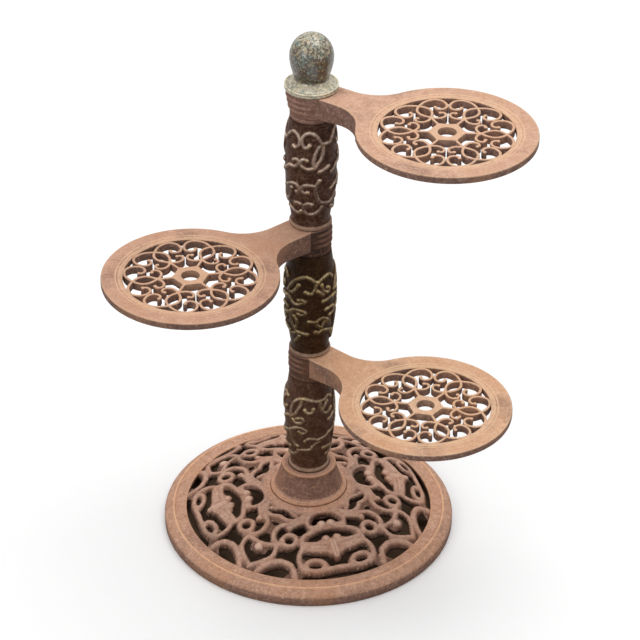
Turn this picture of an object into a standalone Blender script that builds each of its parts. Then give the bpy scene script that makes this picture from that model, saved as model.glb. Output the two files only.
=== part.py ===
"""Tiered plant stand in cast iron.

A domed, pierced round base carries a turned foot, three barrel columns and a ball finial, all
threaded on one tie rod. Between the columns sit three swivel arms. Each arm is one casting: a ridged
hub, a deep neck and a round shelf pierced with scrollwork. Metres, +Z up, origin on the floor at the
middle of the base, on the axis of the rod.
"""

import math

import bmesh
import bpy
from mathutils import Matrix, Vector
from mathutils.geometry import intersect_point_line

MM = 0.001

# Clearances
SEAT_GAP = 0.3 * MM
BORE_CLEARANCE = 0.3 * MM
SOCKET_CLEARANCE = 0.5 * MM
ROOT_OVERLAP = 1.5 * MM

# Tie rod and its fixings
ROD_RADIUS = 4.8 * MM
ROD_TAIL = 4.0 * MM
ROD_IN_FINIAL = 18.0 * MM
WASHER_RADIUS = 12.0 * MM
WASHER_THICKNESS = 2.0 * MM
NUT_ACROSS_FLATS = 17.0 * MM
NUT_HEIGHT = 8.0 * MM

# Base
BASE_RADIUS = 150.5 * MM
BASE_WALL_HEIGHT = 10.3 * MM
BASE_CREST_INSET = 9.6 * MM
BASE_CREST_HEIGHT = 17.1 * MM
BASE_RIM_WIDTH = 23.0 * MM
BASE_TREAD_WIDTH = 6.0 * MM
BASE_IRON = 6.5 * MM
DOME_RISE = 23.6 * MM
DOME_POWER = 2.6
RIB_DEPTH = 6.5 * MM
CREST_STEP = 0.4 * MM
COLLAR_WIDTH = 8.5 * MM
COLLAR_THICKNESS = 10.0 * MM
COLLAR_CHAMFER = 1.5 * MM
SOCKET_DEPTH = 2.0 * MM
GRILLE_UNITS = 4
HALF_UNIT = 180.0 / GRILLE_UNITS
GRILLE_TURN = math.radians(-74.0)

# Column foot
FOOT_RADIUS = 39.4 * MM
FOOT_HEIGHT = 32.0 * MM
FOOT_LIP_HEIGHT = 5.5 * MM
FOOT_LIP_WIDTH = 2.8 * MM
FOOT_TOP_RADIUS = 27.8 * MM
FOOT_RECESS = 1.5 * MM
FOOT_LIP_CHAMFER = 1.0 * MM
FOOT_GROOVE = 1.0 * MM
FOOT_TOP_BAND = 2.0 * MM
FOOT_TOP_CHAMFER = 0.6 * MM

# Barrels, upwards from the foot
BARREL_LENGTH = 117.5 * MM
LOWER_BARREL_LENGTH = 112.0 * MM
BARREL_RADIUS = 26.0 * MM
BARREL_TOP_RADIUS = 20.9 * MM
BARREL_WAIST_RADIUS = 18.9 * MM
BARREL_BEAD_RADIUS = 20.9 * MM
BARREL_BEAD_HEIGHT = 3.2 * MM
BARREL_COVE_HEIGHT = 5.0 * MM
BARREL_WALL = 6.0 * MM
BARREL_END_WALL = 8.0 * MM

# Arms: hub, neck and shelf
HUB_HEIGHT = 30.0 * MM
HUB_RADIUS = 21.4 * MM
UPPER_HUB_TOP_RADIUS = 25.4 * MM
HUB_LIP_HEIGHT = 5.5 * MM
HUB_LIP_INSET = 1.4 * MM
HUB_RIDGES = 3
HUB_RIDGE_PITCH = 5.6 * MM
HUB_RIDGE_RISE = 0.9 * MM
ARM_LENGTH = 150.0 * MM
NECK_WIDTH = 33.0 * MM
NECK_FILLET = 42.0 * MM
NECK_HUB_DEPTH = 24.0 * MM
NECK_SHELF_DEPTH = 18.5 * MM
GUSSET_STEP = 0.5 * MM
SHELF_RADIUS = 85.2 * MM
SHELF_THICKNESS = 7.3 * MM
SHELF_RIM_WIDTH = 21.2 * MM
SHELF_LEDGE_WIDTH = 5.0 * MM
SHELF_GROOVE_WIDTH = 1.4 * MM
SHELF_GROOVE_DEPTH = 0.7 * MM
STRAP_WIDTH = 2.9 * MM
STRAP_JOIN = 0.5 * MM
STRAP_SINK = 1.0 * MM
STRAP_DEPTH = 6.6 * MM
CENTRE_RING_RADIUS = 16.4 * MM
CENTRE_HOLE_RADIUS = 9.1 * MM
SHELF_SECTORS = 6
ARM_TURNS = {
    "lower_arm": math.radians(-40.9),
    "middle_arm": math.radians(221.1),
    "upper_arm": math.radians(-33.6),
}

# Finial
FINIAL_FLANGE_RADIUS = 26.6 * MM
FINIAL_FLANGE_THICKNESS = 2.6 * MM
FINIAL_NECK_RADIUS = 17.0 * MM
FINIAL_NECK_HEIGHT = 11.0 * MM
FINIAL_BALL_RADIUS = 21.3 * MM
FINIAL_HEIGHT = 56.2 * MM

# Facets
ROUND_STEPS = 16
SHELF_STEPS = 28
BASE_STEPS = 36
FOOT_STEPS = 20
SHELF_SAG = 1.5 * MM
BASE_SAG = 0.9 * MM
DOME_STATIONS = (1.0, 0.85, 0.65, 0.4, 0.0)

# One scroll of a shelf sector, from its outer hook to its inner hook: places across and outward from
# the shelf's centre, in shares of the window's radius. At 0 across, it leans on its mirror image.
SHELF_SCROLL = (
    (0.200, 0.753),
    (0.180, 0.706),
    (0.117, 0.678),
    (0.047, 0.711),
    (0.0, 0.781),
    (0.039, 0.867),
    (0.094, 0.938),
    (0.180, 0.970),
    (0.273, 0.945),
    (0.352, 0.883),
    (0.406, 0.797),
    (0.444, 0.703),
    (0.452, 0.609),
    (0.420, 0.528),
    (0.352, 0.469),
    (0.266, 0.431),
    (0.172, 0.409),
    (0.094, 0.428),
    (0.041, 0.478),
    (0.034, 0.531),
    (0.072, 0.572),
    (0.122, 0.566),
    (0.138, 0.525),
)
SHELF_TIE_REACH = 0.50

# Openings of the base's dome, for half a unit: the angle from the cartouche's middle in degrees, and the
# place between the collar, 0, and the rim, 1. An outline whose ends lie on a mirror line of the unit, at 0
# or at 45 degrees, is carried on by its mirror image. The others come in mirrored pairs.
OPENINGS = {
    "rim_slot": (
        (0.0, 0.935),
        (5.0, 0.945),
        (10.5, 0.962),
        (15.0, 0.950),
        (18.0, 0.960),
        (17.6, 1.010),
        (9.0, 1.010),
        (0.0, 1.010),
    ),
    "volute_eye": ((14.6, 0.838), (12.3, 0.880), (10.0, 0.838), (12.3, 0.798)),
    "palmette_crescent": (
        (0.0, 0.848),
        (3.5, 0.826),
        (5.5, 0.770),
        (8.5, 0.728),
        (13.0, 0.715),
        (17.0, 0.733),
        (18.4, 0.712),
        (17.0, 0.682),
        (12.0, 0.676),
        (7.0, 0.692),
        (3.5, 0.738),
        (0.0, 0.752),
    ),
    "palmette_smile": (
        (0.0, 0.425),
        (3.8, 0.404),
        (6.8, 0.435),
        (8.8, 0.478),
        (12.5, 0.493),
        (15.4, 0.490),
        (14.2, 0.440),
        (10.0, 0.394),
        (5.0, 0.350),
        (0.0, 0.325),
    ),
    "drop_smile": (
        (0.0, 0.155),
        (3.8, 0.133),
        (7.2, 0.155),
        (9.0, 0.195),
        (11.2, 0.200),
        (12.4, 0.160),
        (11.2, 0.115),
        (8.5, 0.064),
        (4.5, 0.030),
        (0.0, 0.020),
    ),
    "side_gap": (
        (21.6, 0.830),
        (23.5, 0.775),
        (28.0, 0.757),
        (32.3, 0.753),
        (33.0, 0.715),
        (30.5, 0.682),
        (26.0, 0.645),
        (22.2, 0.605),
        (22.5, 0.680),
        (21.9, 0.760),
    ),
    "rim_loop": (
        (25.8, 0.910),
        (27.5, 0.955),
        (29.4, 1.010),
        (33.5, 1.010),
        (37.4, 1.010),
        (36.0, 0.950),
        (32.5, 0.895),
        (28.5, 0.868),
        (26.3, 0.880),
    ),
    "scroll_eye": ((31.4, 0.515), (28.8, 0.560), (26.2, 0.515), (28.8, 0.470)),
    "scroll_gap": (
        (35.5, 0.485),
        (34.0, 0.430),
        (32.4, 0.385),
        (35.5, 0.338),
        (38.0, 0.318),
        (38.8, 0.370),
        (37.5, 0.440),
    ),
    "corner_gap": (
        (18.2, 0.305),
        (19.5, 0.360),
        (23.5, 0.386),
        (28.0, 0.360),
        (29.0, 0.325),
        (27.0, 0.265),
        (23.0, 0.209),
        (20.0, 0.245),
    ),
    "collar_gap": (
        (45.0, 0.080),
        (40.0, 0.108),
        (35.0, 0.128),
        (30.0, 0.118),
        (27.2, 0.088),
        (30.5, 0.064),
        (34.5, 0.072),
        (38.0, 0.050),
        (41.5, 0.020),
        (45.0, 0.014),
    ),
    "bud_arch": (
        (45.0, 0.888),
        (42.0, 0.835),
        (39.0, 0.790),
        (36.8, 0.735),
        (36.8, 0.675),
        (38.6, 0.668),
        (39.3, 0.728),
        (41.5, 0.762),
        (45.0, 0.774),
    ),
    "kite": ((45.0, 0.600), (43.0, 0.580), (41.6, 0.553), (43.2, 0.500), (45.0, 0.458)),
}
PALMETTE = (
    (0.0, 0.725),
    (5.0, 0.675),
    (11.0, 0.640),
    (15.5, 0.585),
    (11.0, 0.535),
    (7.0, 0.500),
    (3.5, 0.445),
    (0.0, 0.470),
)
DROP = ((0.0, 0.290), (5.5, 0.275), (7.0, 0.235), (4.0, 0.175), (0.0, 0.195))
BUD = (45.0, 0.695)

LEAF_CROWN = 1.2 * MM
LEAF_EDGE = 2.0 * MM
BUD_RADIUS = 6.2 * MM
BUD_SINK = 3.4 * MM

# Worked out from the sizes above
BORE_RADIUS = ROD_RADIUS + BORE_CLEARANCE
RIM_INNER_RADIUS = BASE_RADIUS - BASE_RIM_WIDTH
SOCKET_RADIUS = FOOT_RADIUS + SOCKET_CLEARANCE
COLLAR_RADIUS = SOCKET_RADIUS + COLLAR_WIDTH
COLLAR_TOP = BASE_CREST_HEIGHT + DOME_RISE
SOCKET_FLOOR = COLLAR_TOP - SOCKET_DEPTH
COLLAR_UNDERSIDE = COLLAR_TOP - COLLAR_THICKNESS
WINDOW_RADIUS = SHELF_RADIUS - SHELF_RIM_WIDTH
GROOVE_RADIUS = WINDOW_RADIUS + SHELF_LEDGE_WIDTH


def clear_scene():
    for old in list(bpy.data.objects):
        bpy.data.objects.remove(old)


def make_material(name, colour, roughness, metallic):
    material = bpy.data.materials.new(name)
    material.use_nodes = True
    shader = material.node_tree.nodes["Principled BSDF"]
    shader.inputs["Base Color"].default_value = (*colour, 1.0)
    shader.inputs["Roughness"].default_value = roughness
    shader.inputs["Metallic"].default_value = metallic
    return material


def mesh_of(form, name):
    """Close the bmesh: merge doubled points, face everything outwards, shade it smooth."""
    bmesh.ops.remove_doubles(form, verts=form.verts, dist=1e-7)
    bmesh.ops.recalc_face_normals(form, faces=form.faces)
    mesh = bpy.data.meshes.new(name)
    form.to_mesh(mesh)
    form.free()
    mesh.shade_smooth()
    mesh.set_sharp_from_angle(angle=math.radians(35.0))
    return mesh


def add_object(name, mesh, material=None, parent=None):
    part = bpy.data.objects.new(name, mesh)
    bpy.context.scene.collection.objects.link(part)
    if material:
        mesh.materials.clear()
        mesh.materials.append(material)
    part.parent = parent
    return part


def turned(name, profile, steps=ROUND_STEPS, centre=(0.0, 0.0)):
    """A closed outline of (radius, height) points, spun once round a vertical axis."""
    form = bmesh.new()
    middle = Vector((*centre, 0.0))
    ring = [form.verts.new(middle + Vector((radius, 0.0, height))) for radius, height in profile]
    outline = [form.edges.new(pair) for pair in zip(ring, ring[1:])]
    if profile[0][0] > 0.0 or profile[-1][0] > 0.0:
        outline.append(form.edges.new((ring[-1], ring[0])))
    bmesh.ops.spin(
        form,
        geom=ring + outline,
        cent=middle,
        axis=(0.0, 0.0, 1.0),
        angle=math.tau,
        steps=steps,
        use_merge=True,
    )
    return mesh_of(form, name)


def lofted(name, sections):
    """Skin closed loops of the same count, one after the other, and cap the first and the last."""
    form = bmesh.new()
    loops = [[form.verts.new(point) for point in section] for section in sections]
    for near, far in zip(loops, loops[1:]):
        for i in range(len(near)):
            j = (i + 1) % len(near)
            form.faces.new((near[i], near[j], far[j], far[i]))
    form.faces.new(loops[0][::-1])
    form.faces.new(loops[-1])
    return mesh_of(form, name)


def smooth_path(guides, pieces=8):
    """A Catmull-Rom curve through the guide points."""
    ends = [2 * guides[0] - guides[1], *guides, 2 * guides[-1] - guides[-2]]
    path = []
    for before, start, end, after in zip(ends, ends[1:], ends[2:], ends[3:]):
        for step in range(pieces):
            t = step / pieces
            path.append(
                0.5
                * (
                    2 * start
                    + (end - before) * t
                    + (2 * before - 5 * start + 4 * end - after) * t**2
                    + (3 * start - before - 3 * end + after) * t**3
                )
            )
    path.append(guides[-1])
    return path


def thinned(path, sag):
    """Drop the points that stay within sag of the straight line between their kept neighbours."""
    first, last = path[0], path[-1]
    away = [(here - intersect_point_line(here, first, last)[0]).length for here in path]
    furthest = away.index(max(away))
    if away[furthest] < sag:
        return [first, last]
    return thinned(path[: furthest + 1], sag)[:-1] + thinned(path[furthest:], sag)


def strap(name, path, width, depth):
    """Carry an upright bar along the path, which runs along the middle of its top."""
    sections = []
    for i, here in enumerate(path):
        along = path[min(i + 1, len(path) - 1)] - path[max(i - 1, 0)]
        side = Vector((-along.y, along.x, 0.0)).normalized() * (width / 2)
        foot = here - Vector((0.0, 0.0, depth))
        sections.append([foot - side, foot + side, here + side, here - side])
    return lofted(name, sections)


def combined(name, meshes, operation="UNION"):
    """Unite closed meshes into one body, or cut all the later ones out of the first."""
    tools = bpy.data.collections.new(name + "_tools")
    first = add_object(name, meshes[0])
    for mesh in meshes[1:]:
        tools.objects.link(bpy.data.objects.new(mesh.name, mesh))
    boolean = first.modifiers.new("boolean", "BOOLEAN")
    boolean.operation = operation
    boolean.operand_type = "COLLECTION"
    boolean.collection = tools
    boolean.solver = "EXACT"
    bpy.context.view_layer.update()
    solid = bpy.data.meshes.new_from_object(first.evaluated_get(bpy.context.evaluated_depsgraph_get()))
    for used in [first, *tools.objects]:
        bpy.data.objects.remove(used)
    bpy.data.collections.remove(tools)
    solid.name = name
    return solid


def turned_copy(mesh, angle):
    copy = mesh.copy()
    copy.transform(Matrix.Rotation(angle, 4, "Z"))
    return copy


def mirrored_copy(mesh):
    copy = mesh.copy()
    copy.transform(Matrix.Scale(-1.0, 4, (0.0, 1.0, 0.0)))
    copy.flip_normals()
    return copy


# Base


def dome_height(radius):
    """The grille's top: level with the crest at the rim, risen by DOME_RISE at the collar."""
    share = (radius - SOCKET_RADIUS) / (RIM_INNER_RADIUS - SOCKET_RADIUS)
    return BASE_CREST_HEIGHT - CREST_STEP + DOME_RISE * (1.0 - min(max(share, 0.0), 1.0) ** DOME_POWER)


def on_plan(place, height=0.0):
    """A place of the grille, laid out flat."""
    angle = math.radians(place[0])
    radius = COLLAR_RADIUS + place[1] * (RIM_INNER_RADIUS - COLLAR_RADIUS)
    return Vector((radius * math.cos(angle), radius * math.sin(angle), height))


def whole_outline(places):
    """An outline with both ends on a mirror line of its unit, carried on by its mirror image."""
    for line in (0.0, HALF_UNIT):
        if places[0][0] == places[-1][0] == line:
            return [*places, *[(2 * line - angle, share) for angle, share in reversed(places[1:-1])]]
    return list(places)


def opening(name, places):
    """A cutter with a smooth outline, upright through the whole dome."""
    guides = [on_plan(place) for place in whole_outline(places)]
    pieces = 6
    loop = smooth_path([guides[-1], *guides, guides[0], guides[1]], pieces)[pieces:-pieces]
    half = len(loop) // 2
    outline = thinned(loop[: half + 1], BASE_SAG)[:-1] + thinned(loop[half:], BASE_SAG)[:-1]
    top = Vector((0.0, 0.0, COLLAR_TOP + COLLAR_THICKNESS))
    return lofted(name, [outline, [point + top for point in outline]])


def leaf(name, half_outline):
    """A low leaf across the unit's middle line, its top crowned towards its middle."""
    outline = whole_outline(half_outline)
    middle = sum(share for _, share in outline) / len(outline)
    inner = [(0.5 * angle, middle + 0.5 * (share - middle)) for angle, share in outline]
    sections = []
    for places, lift in ((outline, -LEAF_EDGE), (outline, LEAF_CROWN / 2), (inner, LEAF_CROWN)):
        flat = [on_plan(place) for place in places]
        sections.append([point + Vector((0.0, 0.0, dome_height(point.length) + lift)) for point in flat])
    return lofted(name, sections)


def bud():
    """A ball in the mouth of each arch, more than half sunk in the dome."""
    form = bmesh.new()
    bmesh.ops.create_icosphere(form, subdivisions=1, radius=BUD_RADIUS)
    middle = on_plan(BUD)
    middle.z = dome_height(middle.length) - BUD_SINK
    bmesh.ops.translate(form, verts=form.verts, vec=middle)
    return mesh_of(form, "bud")


def unit_openings():
    """The cutters of one unit: the whole outlines, and the side ones with their mirror images."""
    cutters = []
    for name, places in OPENINGS.items():
        cutters.append(opening(name, places))
        if places[0][0] != places[-1][0] or places[0][0] not in (0.0, HALF_UNIT):
            cutters.append(mirrored_copy(cutters[-1]))
    return cutters


def base_plate():
    """The turned casting, from the tread over the dome to the collar and back under it, then pierced."""
    stations = [COLLAR_RADIUS + (RIM_INNER_RADIUS - COLLAR_RADIUS) * share for share in DOME_STATIONS]
    dome = [(radius, dome_height(radius)) for radius in stations]
    profile = [
        (BASE_RADIUS - BASE_TREAD_WIDTH, 0.0),
        (BASE_RADIUS, 0.0),
        (BASE_RADIUS, BASE_WALL_HEIGHT),
        (BASE_RADIUS - BASE_CREST_INSET, BASE_CREST_HEIGHT),
        *dome,
        (COLLAR_RADIUS - COLLAR_CHAMFER, COLLAR_TOP),
        (SOCKET_RADIUS, COLLAR_TOP),
        (SOCKET_RADIUS, SOCKET_FLOOR),
        (BORE_RADIUS, SOCKET_FLOOR),
        (BORE_RADIUS, COLLAR_UNDERSIDE),
        (COLLAR_RADIUS - COLLAR_CHAMFER, COLLAR_UNDERSIDE),
        *[(radius, height - RIB_DEPTH) for radius, height in reversed(dome)],
        (BASE_RADIUS - BASE_CREST_INSET, BASE_CREST_HEIGHT - BASE_IRON),
        (BASE_RADIUS - BASE_TREAD_WIDTH, BASE_WALL_HEIGHT - BASE_IRON),
    ]
    turns = [GRILLE_TURN + math.tau * i / GRILLE_UNITS for i in range(GRILLE_UNITS)]
    cutters = [turned_copy(mesh, turn) for turn in turns for mesh in unit_openings()]
    casting = combined("casting", [turned("dome", profile, BASE_STEPS), *cutters], "DIFFERENCE")
    reliefs = [leaf("palmette", PALMETTE), leaf("drop", DROP), bud()]
    reliefs = [turned_copy(mesh, turn) for turn in turns for mesh in reliefs]
    return combined("base_plate", [casting, *reliefs])


# Arms


def shelf():
    """A round plate with a line groove round its window, and the scrollwork that fills the window."""
    centre = (ARM_LENGTH, 0.0)
    plate = turned(
        "plate",
        [
            (WINDOW_RADIUS, -SHELF_THICKNESS),
            (SHELF_RADIUS, -SHELF_THICKNESS),
            (SHELF_RADIUS, 0.0),
            (GROOVE_RADIUS + SHELF_GROOVE_WIDTH, 0.0),
            (GROOVE_RADIUS + SHELF_GROOVE_WIDTH / 2, -SHELF_GROOVE_DEPTH),
            (GROOVE_RADIUS, 0.0),
            (WINDOW_RADIUS, 0.0),
        ],
        SHELF_STEPS,
        centre,
    )
    top = -STRAP_SINK
    bottom = top - STRAP_DEPTH
    ring = turned(
        "centre_ring",
        [
            (CENTRE_HOLE_RADIUS, bottom),
            (CENTRE_RING_RADIUS, bottom),
            (CENTRE_RING_RADIUS, top),
            (CENTRE_HOLE_RADIUS, top),
        ],
        ROUND_STEPS,
        centre,
    )
    lean = (STRAP_WIDTH - STRAP_JOIN) / 2
    guides = [Vector((y * WINDOW_RADIUS, x * WINDOW_RADIUS or lean, top)) for x, y in SHELF_SCROLL]
    scroll = strap("scroll", thinned(smooth_path(guides), SHELF_SAG), STRAP_WIDTH, STRAP_DEPTH)
    tie_turn = math.pi / SHELF_SECTORS
    tie_ends = (CENTRE_RING_RADIUS - ROOT_OVERLAP, SHELF_TIE_REACH * WINDOW_RADIUS)
    tie_path = [Vector((r * math.cos(tie_turn), r * math.sin(tie_turn), top)) for r in tie_ends]
    tie = strap("tie", tie_path, STRAP_WIDTH, STRAP_DEPTH)
    straps = []
    for i in range(SHELF_SECTORS):
        turn = math.tau * i / SHELF_SECTORS
        straps += [turned_copy(mesh, turn) for mesh in (scroll, mirrored_copy(scroll), tie)]
    for mesh in straps:
        mesh.transform(Matrix.Translation((ARM_LENGTH, 0.0, 0.0)))
    return combined("shelf", [plate, ring, *straps])


def neck_half_width(x):
    """Straight beside the hub, then a concave fillet that runs out tangent to the shelf's edge."""
    reach = SHELF_RADIUS + NECK_FILLET
    offset = NECK_WIDTH / 2 + NECK_FILLET
    fillet_x = ARM_LENGTH - math.sqrt(reach**2 - offset**2)
    if x <= fillet_x:
        return NECK_WIDTH / 2
    return offset - math.sqrt(max(NECK_FILLET**2 - (x - fillet_x) ** 2, 0.0))


def neck():
    """The deep slab from the hub to the shelf, and the gusset that thins it out under the shelf's rim."""
    reach = SHELF_RADIUS + NECK_FILLET
    offset = NECK_WIDTH / 2 + NECK_FILLET
    tangent_x = ARM_LENGTH - SHELF_RADIUS * math.sqrt(1.0 - (offset / reach) ** 2)
    start_x = BORE_RADIUS + ROOT_OVERLAP
    stations = 9
    slab = []
    for step in range(stations):
        share = step / (stations - 1)
        x = start_x + (tangent_x - start_x) * share
        w = neck_half_width(x)
        z = -(NECK_HUB_DEPTH + (NECK_SHELF_DEPTH - NECK_HUB_DEPTH) * share)
        slab.append([Vector(p) for p in ((x, -w, z), (x, w, z), (x, w, 0.0), (x, -w, 0.0))])
    w = neck_half_width(tangent_x) - ROOT_OVERLAP
    gusset_end = ARM_LENGTH - WINDOW_RADIUS - ROOT_OVERLAP
    top = -SHELF_THICKNESS / 2
    gusset = []
    for x, z in ((tangent_x - ROOT_OVERLAP, -NECK_SHELF_DEPTH), (gusset_end, -SHELF_THICKNESS - GUSSET_STEP)):
        gusset.append([Vector(p) for p in ((x, -w, z), (x, w, z), (x, w, top), (x, -w, top))])
        w *= 0.8
    return [lofted("neck", slab), lofted("gusset", gusset)]


def hub(top_radius):
    """A drum with ridges round it and a narrower lip below, bored for the rod."""
    drum_end = -(HUB_HEIGHT - HUB_LIP_HEIGHT)

    def radius_at(z):
        return top_radius + (HUB_RADIUS - top_radius) * z / drum_end

    profile = [(BORE_RADIUS, -HUB_HEIGHT), (HUB_RADIUS - 2 * HUB_LIP_INSET, -HUB_HEIGHT)]
    profile += [(HUB_RADIUS - HUB_LIP_INSET, drum_end), (HUB_RADIUS, drum_end)]
    first_ridge = (-drum_end - (HUB_RIDGES - 1) * HUB_RIDGE_PITCH) / 2
    for i in reversed(range(HUB_RIDGES)):
        crest = -(first_ridge + i * HUB_RIDGE_PITCH)
        valley = crest + HUB_RIDGE_PITCH / 2
        profile += [(radius_at(crest) + HUB_RIDGE_RISE, crest), (radius_at(valley), valley)]
    profile += [(top_radius, 0.0), (BORE_RADIUS, 0.0)]
    return turned("hub", profile)


# Column


def column_foot():
    lip_top = FOOT_LIP_HEIGHT
    inner_foot = FOOT_RADIUS - FOOT_LIP_WIDTH
    flare = []
    for share in (0.0, 0.35, 0.92):
        bow = 1.0 - share / 0.92
        z = lip_top - FOOT_GROOVE + (FOOT_HEIGHT - FOOT_TOP_BAND - lip_top) * share
        flare.append((FOOT_TOP_RADIUS + (inner_foot - FOOT_TOP_RADIUS) * bow, z))
    recess_radius = BARREL_BEAD_RADIUS + SOCKET_CLEARANCE
    profile = [(BORE_RADIUS, 0.0), (FOOT_RADIUS, 0.0), (FOOT_RADIUS, lip_top - FOOT_LIP_CHAMFER)]
    profile += [(FOOT_RADIUS - FOOT_LIP_CHAMFER, lip_top), (inner_foot + FOOT_GROOVE / 2, lip_top), *flare]
    profile += [(FOOT_TOP_RADIUS, FOOT_HEIGHT - FOOT_TOP_CHAMFER)]
    profile += [(FOOT_TOP_RADIUS - FOOT_TOP_CHAMFER, FOOT_HEIGHT)]
    profile += [(recess_radius, FOOT_HEIGHT), (recess_radius, FOOT_HEIGHT - FOOT_RECESS)]
    profile += [(BORE_RADIUS, FOOT_HEIGHT - FOOT_RECESS)]
    return turned("column_foot", profile, FOOT_STEPS)


def barrel(length):
    """A swelling column, hollow inside, with a bead and a cove at its foot."""
    body_start = BARREL_BEAD_HEIGHT + BARREL_COVE_HEIGHT
    widest = body_start + 0.56 * (length - body_start)
    outer = []
    for share in (0.0, 0.15, 0.34, 0.56, 0.78, 0.92, 1.0):
        z = body_start + (length - body_start) * share
        end_radius = BARREL_WAIST_RADIUS if z < widest else BARREL_TOP_RADIUS
        reach = (widest - body_start) if z < widest else (length - widest)
        swell = max(math.cos(0.5 * math.pi * (z - widest) / reach), 0.0)
        outer.append((end_radius + (BARREL_RADIUS - end_radius) * swell, z))
    cavity_radius = BARREL_WAIST_RADIUS - BARREL_WALL
    profile = [(BORE_RADIUS, 0.0), (BARREL_BEAD_RADIUS, 0.0), (BARREL_BEAD_RADIUS, BARREL_BEAD_HEIGHT)]
    profile += [*outer, (BORE_RADIUS, length), (BORE_RADIUS, length - BARREL_END_WALL)]
    profile += [(cavity_radius, length - BARREL_END_WALL), (cavity_radius, BARREL_END_WALL)]
    profile += [(BORE_RADIUS, BARREL_END_WALL)]
    return turned("barrel", profile)


def finial():
    """A pear-shaped ball on a saucer flange, with a blind hole for the end of the rod."""
    saucer = []
    for share in (0.0, 0.4, 0.75, 1.0):
        drop = (1.0 - share) ** 1.6
        z = FINIAL_FLANGE_THICKNESS + (FINIAL_NECK_HEIGHT - FINIAL_FLANGE_THICKNESS) * share
        saucer.append((FINIAL_NECK_RADIUS + (FINIAL_FLANGE_RADIUS - FINIAL_NECK_RADIUS) * drop, z))
    ball_centre = FINIAL_HEIGHT - FINIAL_BALL_RADIUS * 1.08
    ball = []
    for step in range(1, 10):
        share = step / 9
        z = FINIAL_NECK_HEIGHT + (FINIAL_HEIGHT - FINIAL_NECK_HEIGHT) * math.sin(0.5 * math.pi * share) ** 1.15
        if z < ball_centre:
            rise = (z - FINIAL_NECK_HEIGHT) / (ball_centre - FINIAL_NECK_HEIGHT)
            swell = math.sin(0.5 * math.pi * rise)
            ball.append((FINIAL_NECK_RADIUS + (FINIAL_BALL_RADIUS - FINIAL_NECK_RADIUS) * swell, z))
        else:
            fall = (z - ball_centre) / (FINIAL_HEIGHT - ball_centre)
            ball.append((FINIAL_BALL_RADIUS * math.sqrt(max(1.0 - fall**2, 0.0)), z))
    hole_end = ROD_IN_FINIAL + SEAT_GAP
    profile = [(0.0, hole_end), (BORE_RADIUS, hole_end), (BORE_RADIUS, 0.0)]
    profile += [(FINIAL_FLANGE_RADIUS, 0.0), *saucer, *ball[:-1], (0.0, FINIAL_HEIGHT)]
    return turned("finial", profile)


def tie_rod(length):
    form = bmesh.new()
    bmesh.ops.create_cone(
        form, cap_ends=True, segments=16, radius1=ROD_RADIUS, radius2=ROD_RADIUS, depth=length
    )
    bmesh.ops.translate(form, verts=form.verts, vec=(0.0, 0.0, length / 2))
    return mesh_of(form, "tie_rod")


def washer():
    profile = [(BORE_RADIUS, 0.0), (WASHER_RADIUS, 0.0), (WASHER_RADIUS, WASHER_THICKNESS)]
    return turned("base_washer", [*profile, (BORE_RADIUS, WASHER_THICKNESS)])


def nut():
    corner_radius = NUT_ACROSS_FLATS / math.sqrt(3.0)
    steps = 6
    profile = [(BORE_RADIUS / math.cos(math.pi / steps), 0.0), (corner_radius, 0.0)]
    profile += [(corner_radius, NUT_HEIGHT), (profile[0][0], NUT_HEIGHT)]
    return turned("base_nut", profile, steps)


def build():
    clear_scene()
    stand = bpy.data.objects.new("stand", None)
    bpy.context.scene.collection.objects.link(stand)
    rusty_iron = make_material("rusty_iron", (0.33, 0.19, 0.13), 0.85, 0.2)
    shelf_iron = make_material("shelf_iron", (0.45, 0.26, 0.18), 0.85, 0.2)
    gilt_iron = make_material("gilt_iron", (0.10, 0.07, 0.05), 0.6, 0.4)
    verdigris = make_material("verdigris", (0.40, 0.39, 0.30), 0.6, 0.4)
    steel = make_material("steel", (0.35, 0.34, 0.33), 0.5, 0.9)

    def place(name, mesh, material, z, turn=0.0):
        part = add_object(name, mesh, material, stand)
        part.location = (0.0, 0.0, z)
        part.rotation_euler = (0.0, 0.0, turn)
        return part

    place("base_plate", base_plate(), rusty_iron, 0.0)
    z = SOCKET_FLOOR + SEAT_GAP
    place("column_foot", column_foot(), rusty_iron, z)
    z += FOOT_HEIGHT - FOOT_RECESS
    shelf_mesh = shelf()
    tiers = (
        ("lower", LOWER_BARREL_LENGTH, HUB_RADIUS),
        ("middle", BARREL_LENGTH, HUB_RADIUS),
        ("upper", BARREL_LENGTH, UPPER_HUB_TOP_RADIUS),
    )
    for tier, length, hub_top_radius in tiers:
        z += SEAT_GAP
        place(tier + "_barrel", barrel(length), gilt_iron, z)
        z += length + SEAT_GAP + HUB_HEIGHT
        name = tier + "_arm"
        arm = combined(name, [hub(hub_top_radius), *neck(), shelf_mesh.copy()])
        place(name, arm, shelf_iron, z, ARM_TURNS[name])
    z += SEAT_GAP
    place("finial", finial(), verdigris, z)
    washer_z = COLLAR_UNDERSIDE - SEAT_GAP - WASHER_THICKNESS
    nut_z = washer_z - SEAT_GAP - NUT_HEIGHT
    rod_z = nut_z - ROD_TAIL
    place("base_washer", washer(), steel, washer_z)
    place("base_nut", nut(), steel, nut_z)
    place("tie_rod", tie_rod(z + ROD_IN_FINIAL - rod_z), steel, rod_z)


build()
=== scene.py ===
# %% [markdown]
# # A tiered plant stand in cast iron
# Three round pierced shelves swivel on a post of carved barrels, over a domed scrollwork base. The packed
# CAD model gives every size and place. This lesson keeps those and builds each casting again as a fine
# surface, with the carving, the worn edges and the rust that the plain solids leave out.

import bmesh
import bpy
import numpy as np
from mathutils import Matrix, Vector


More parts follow.
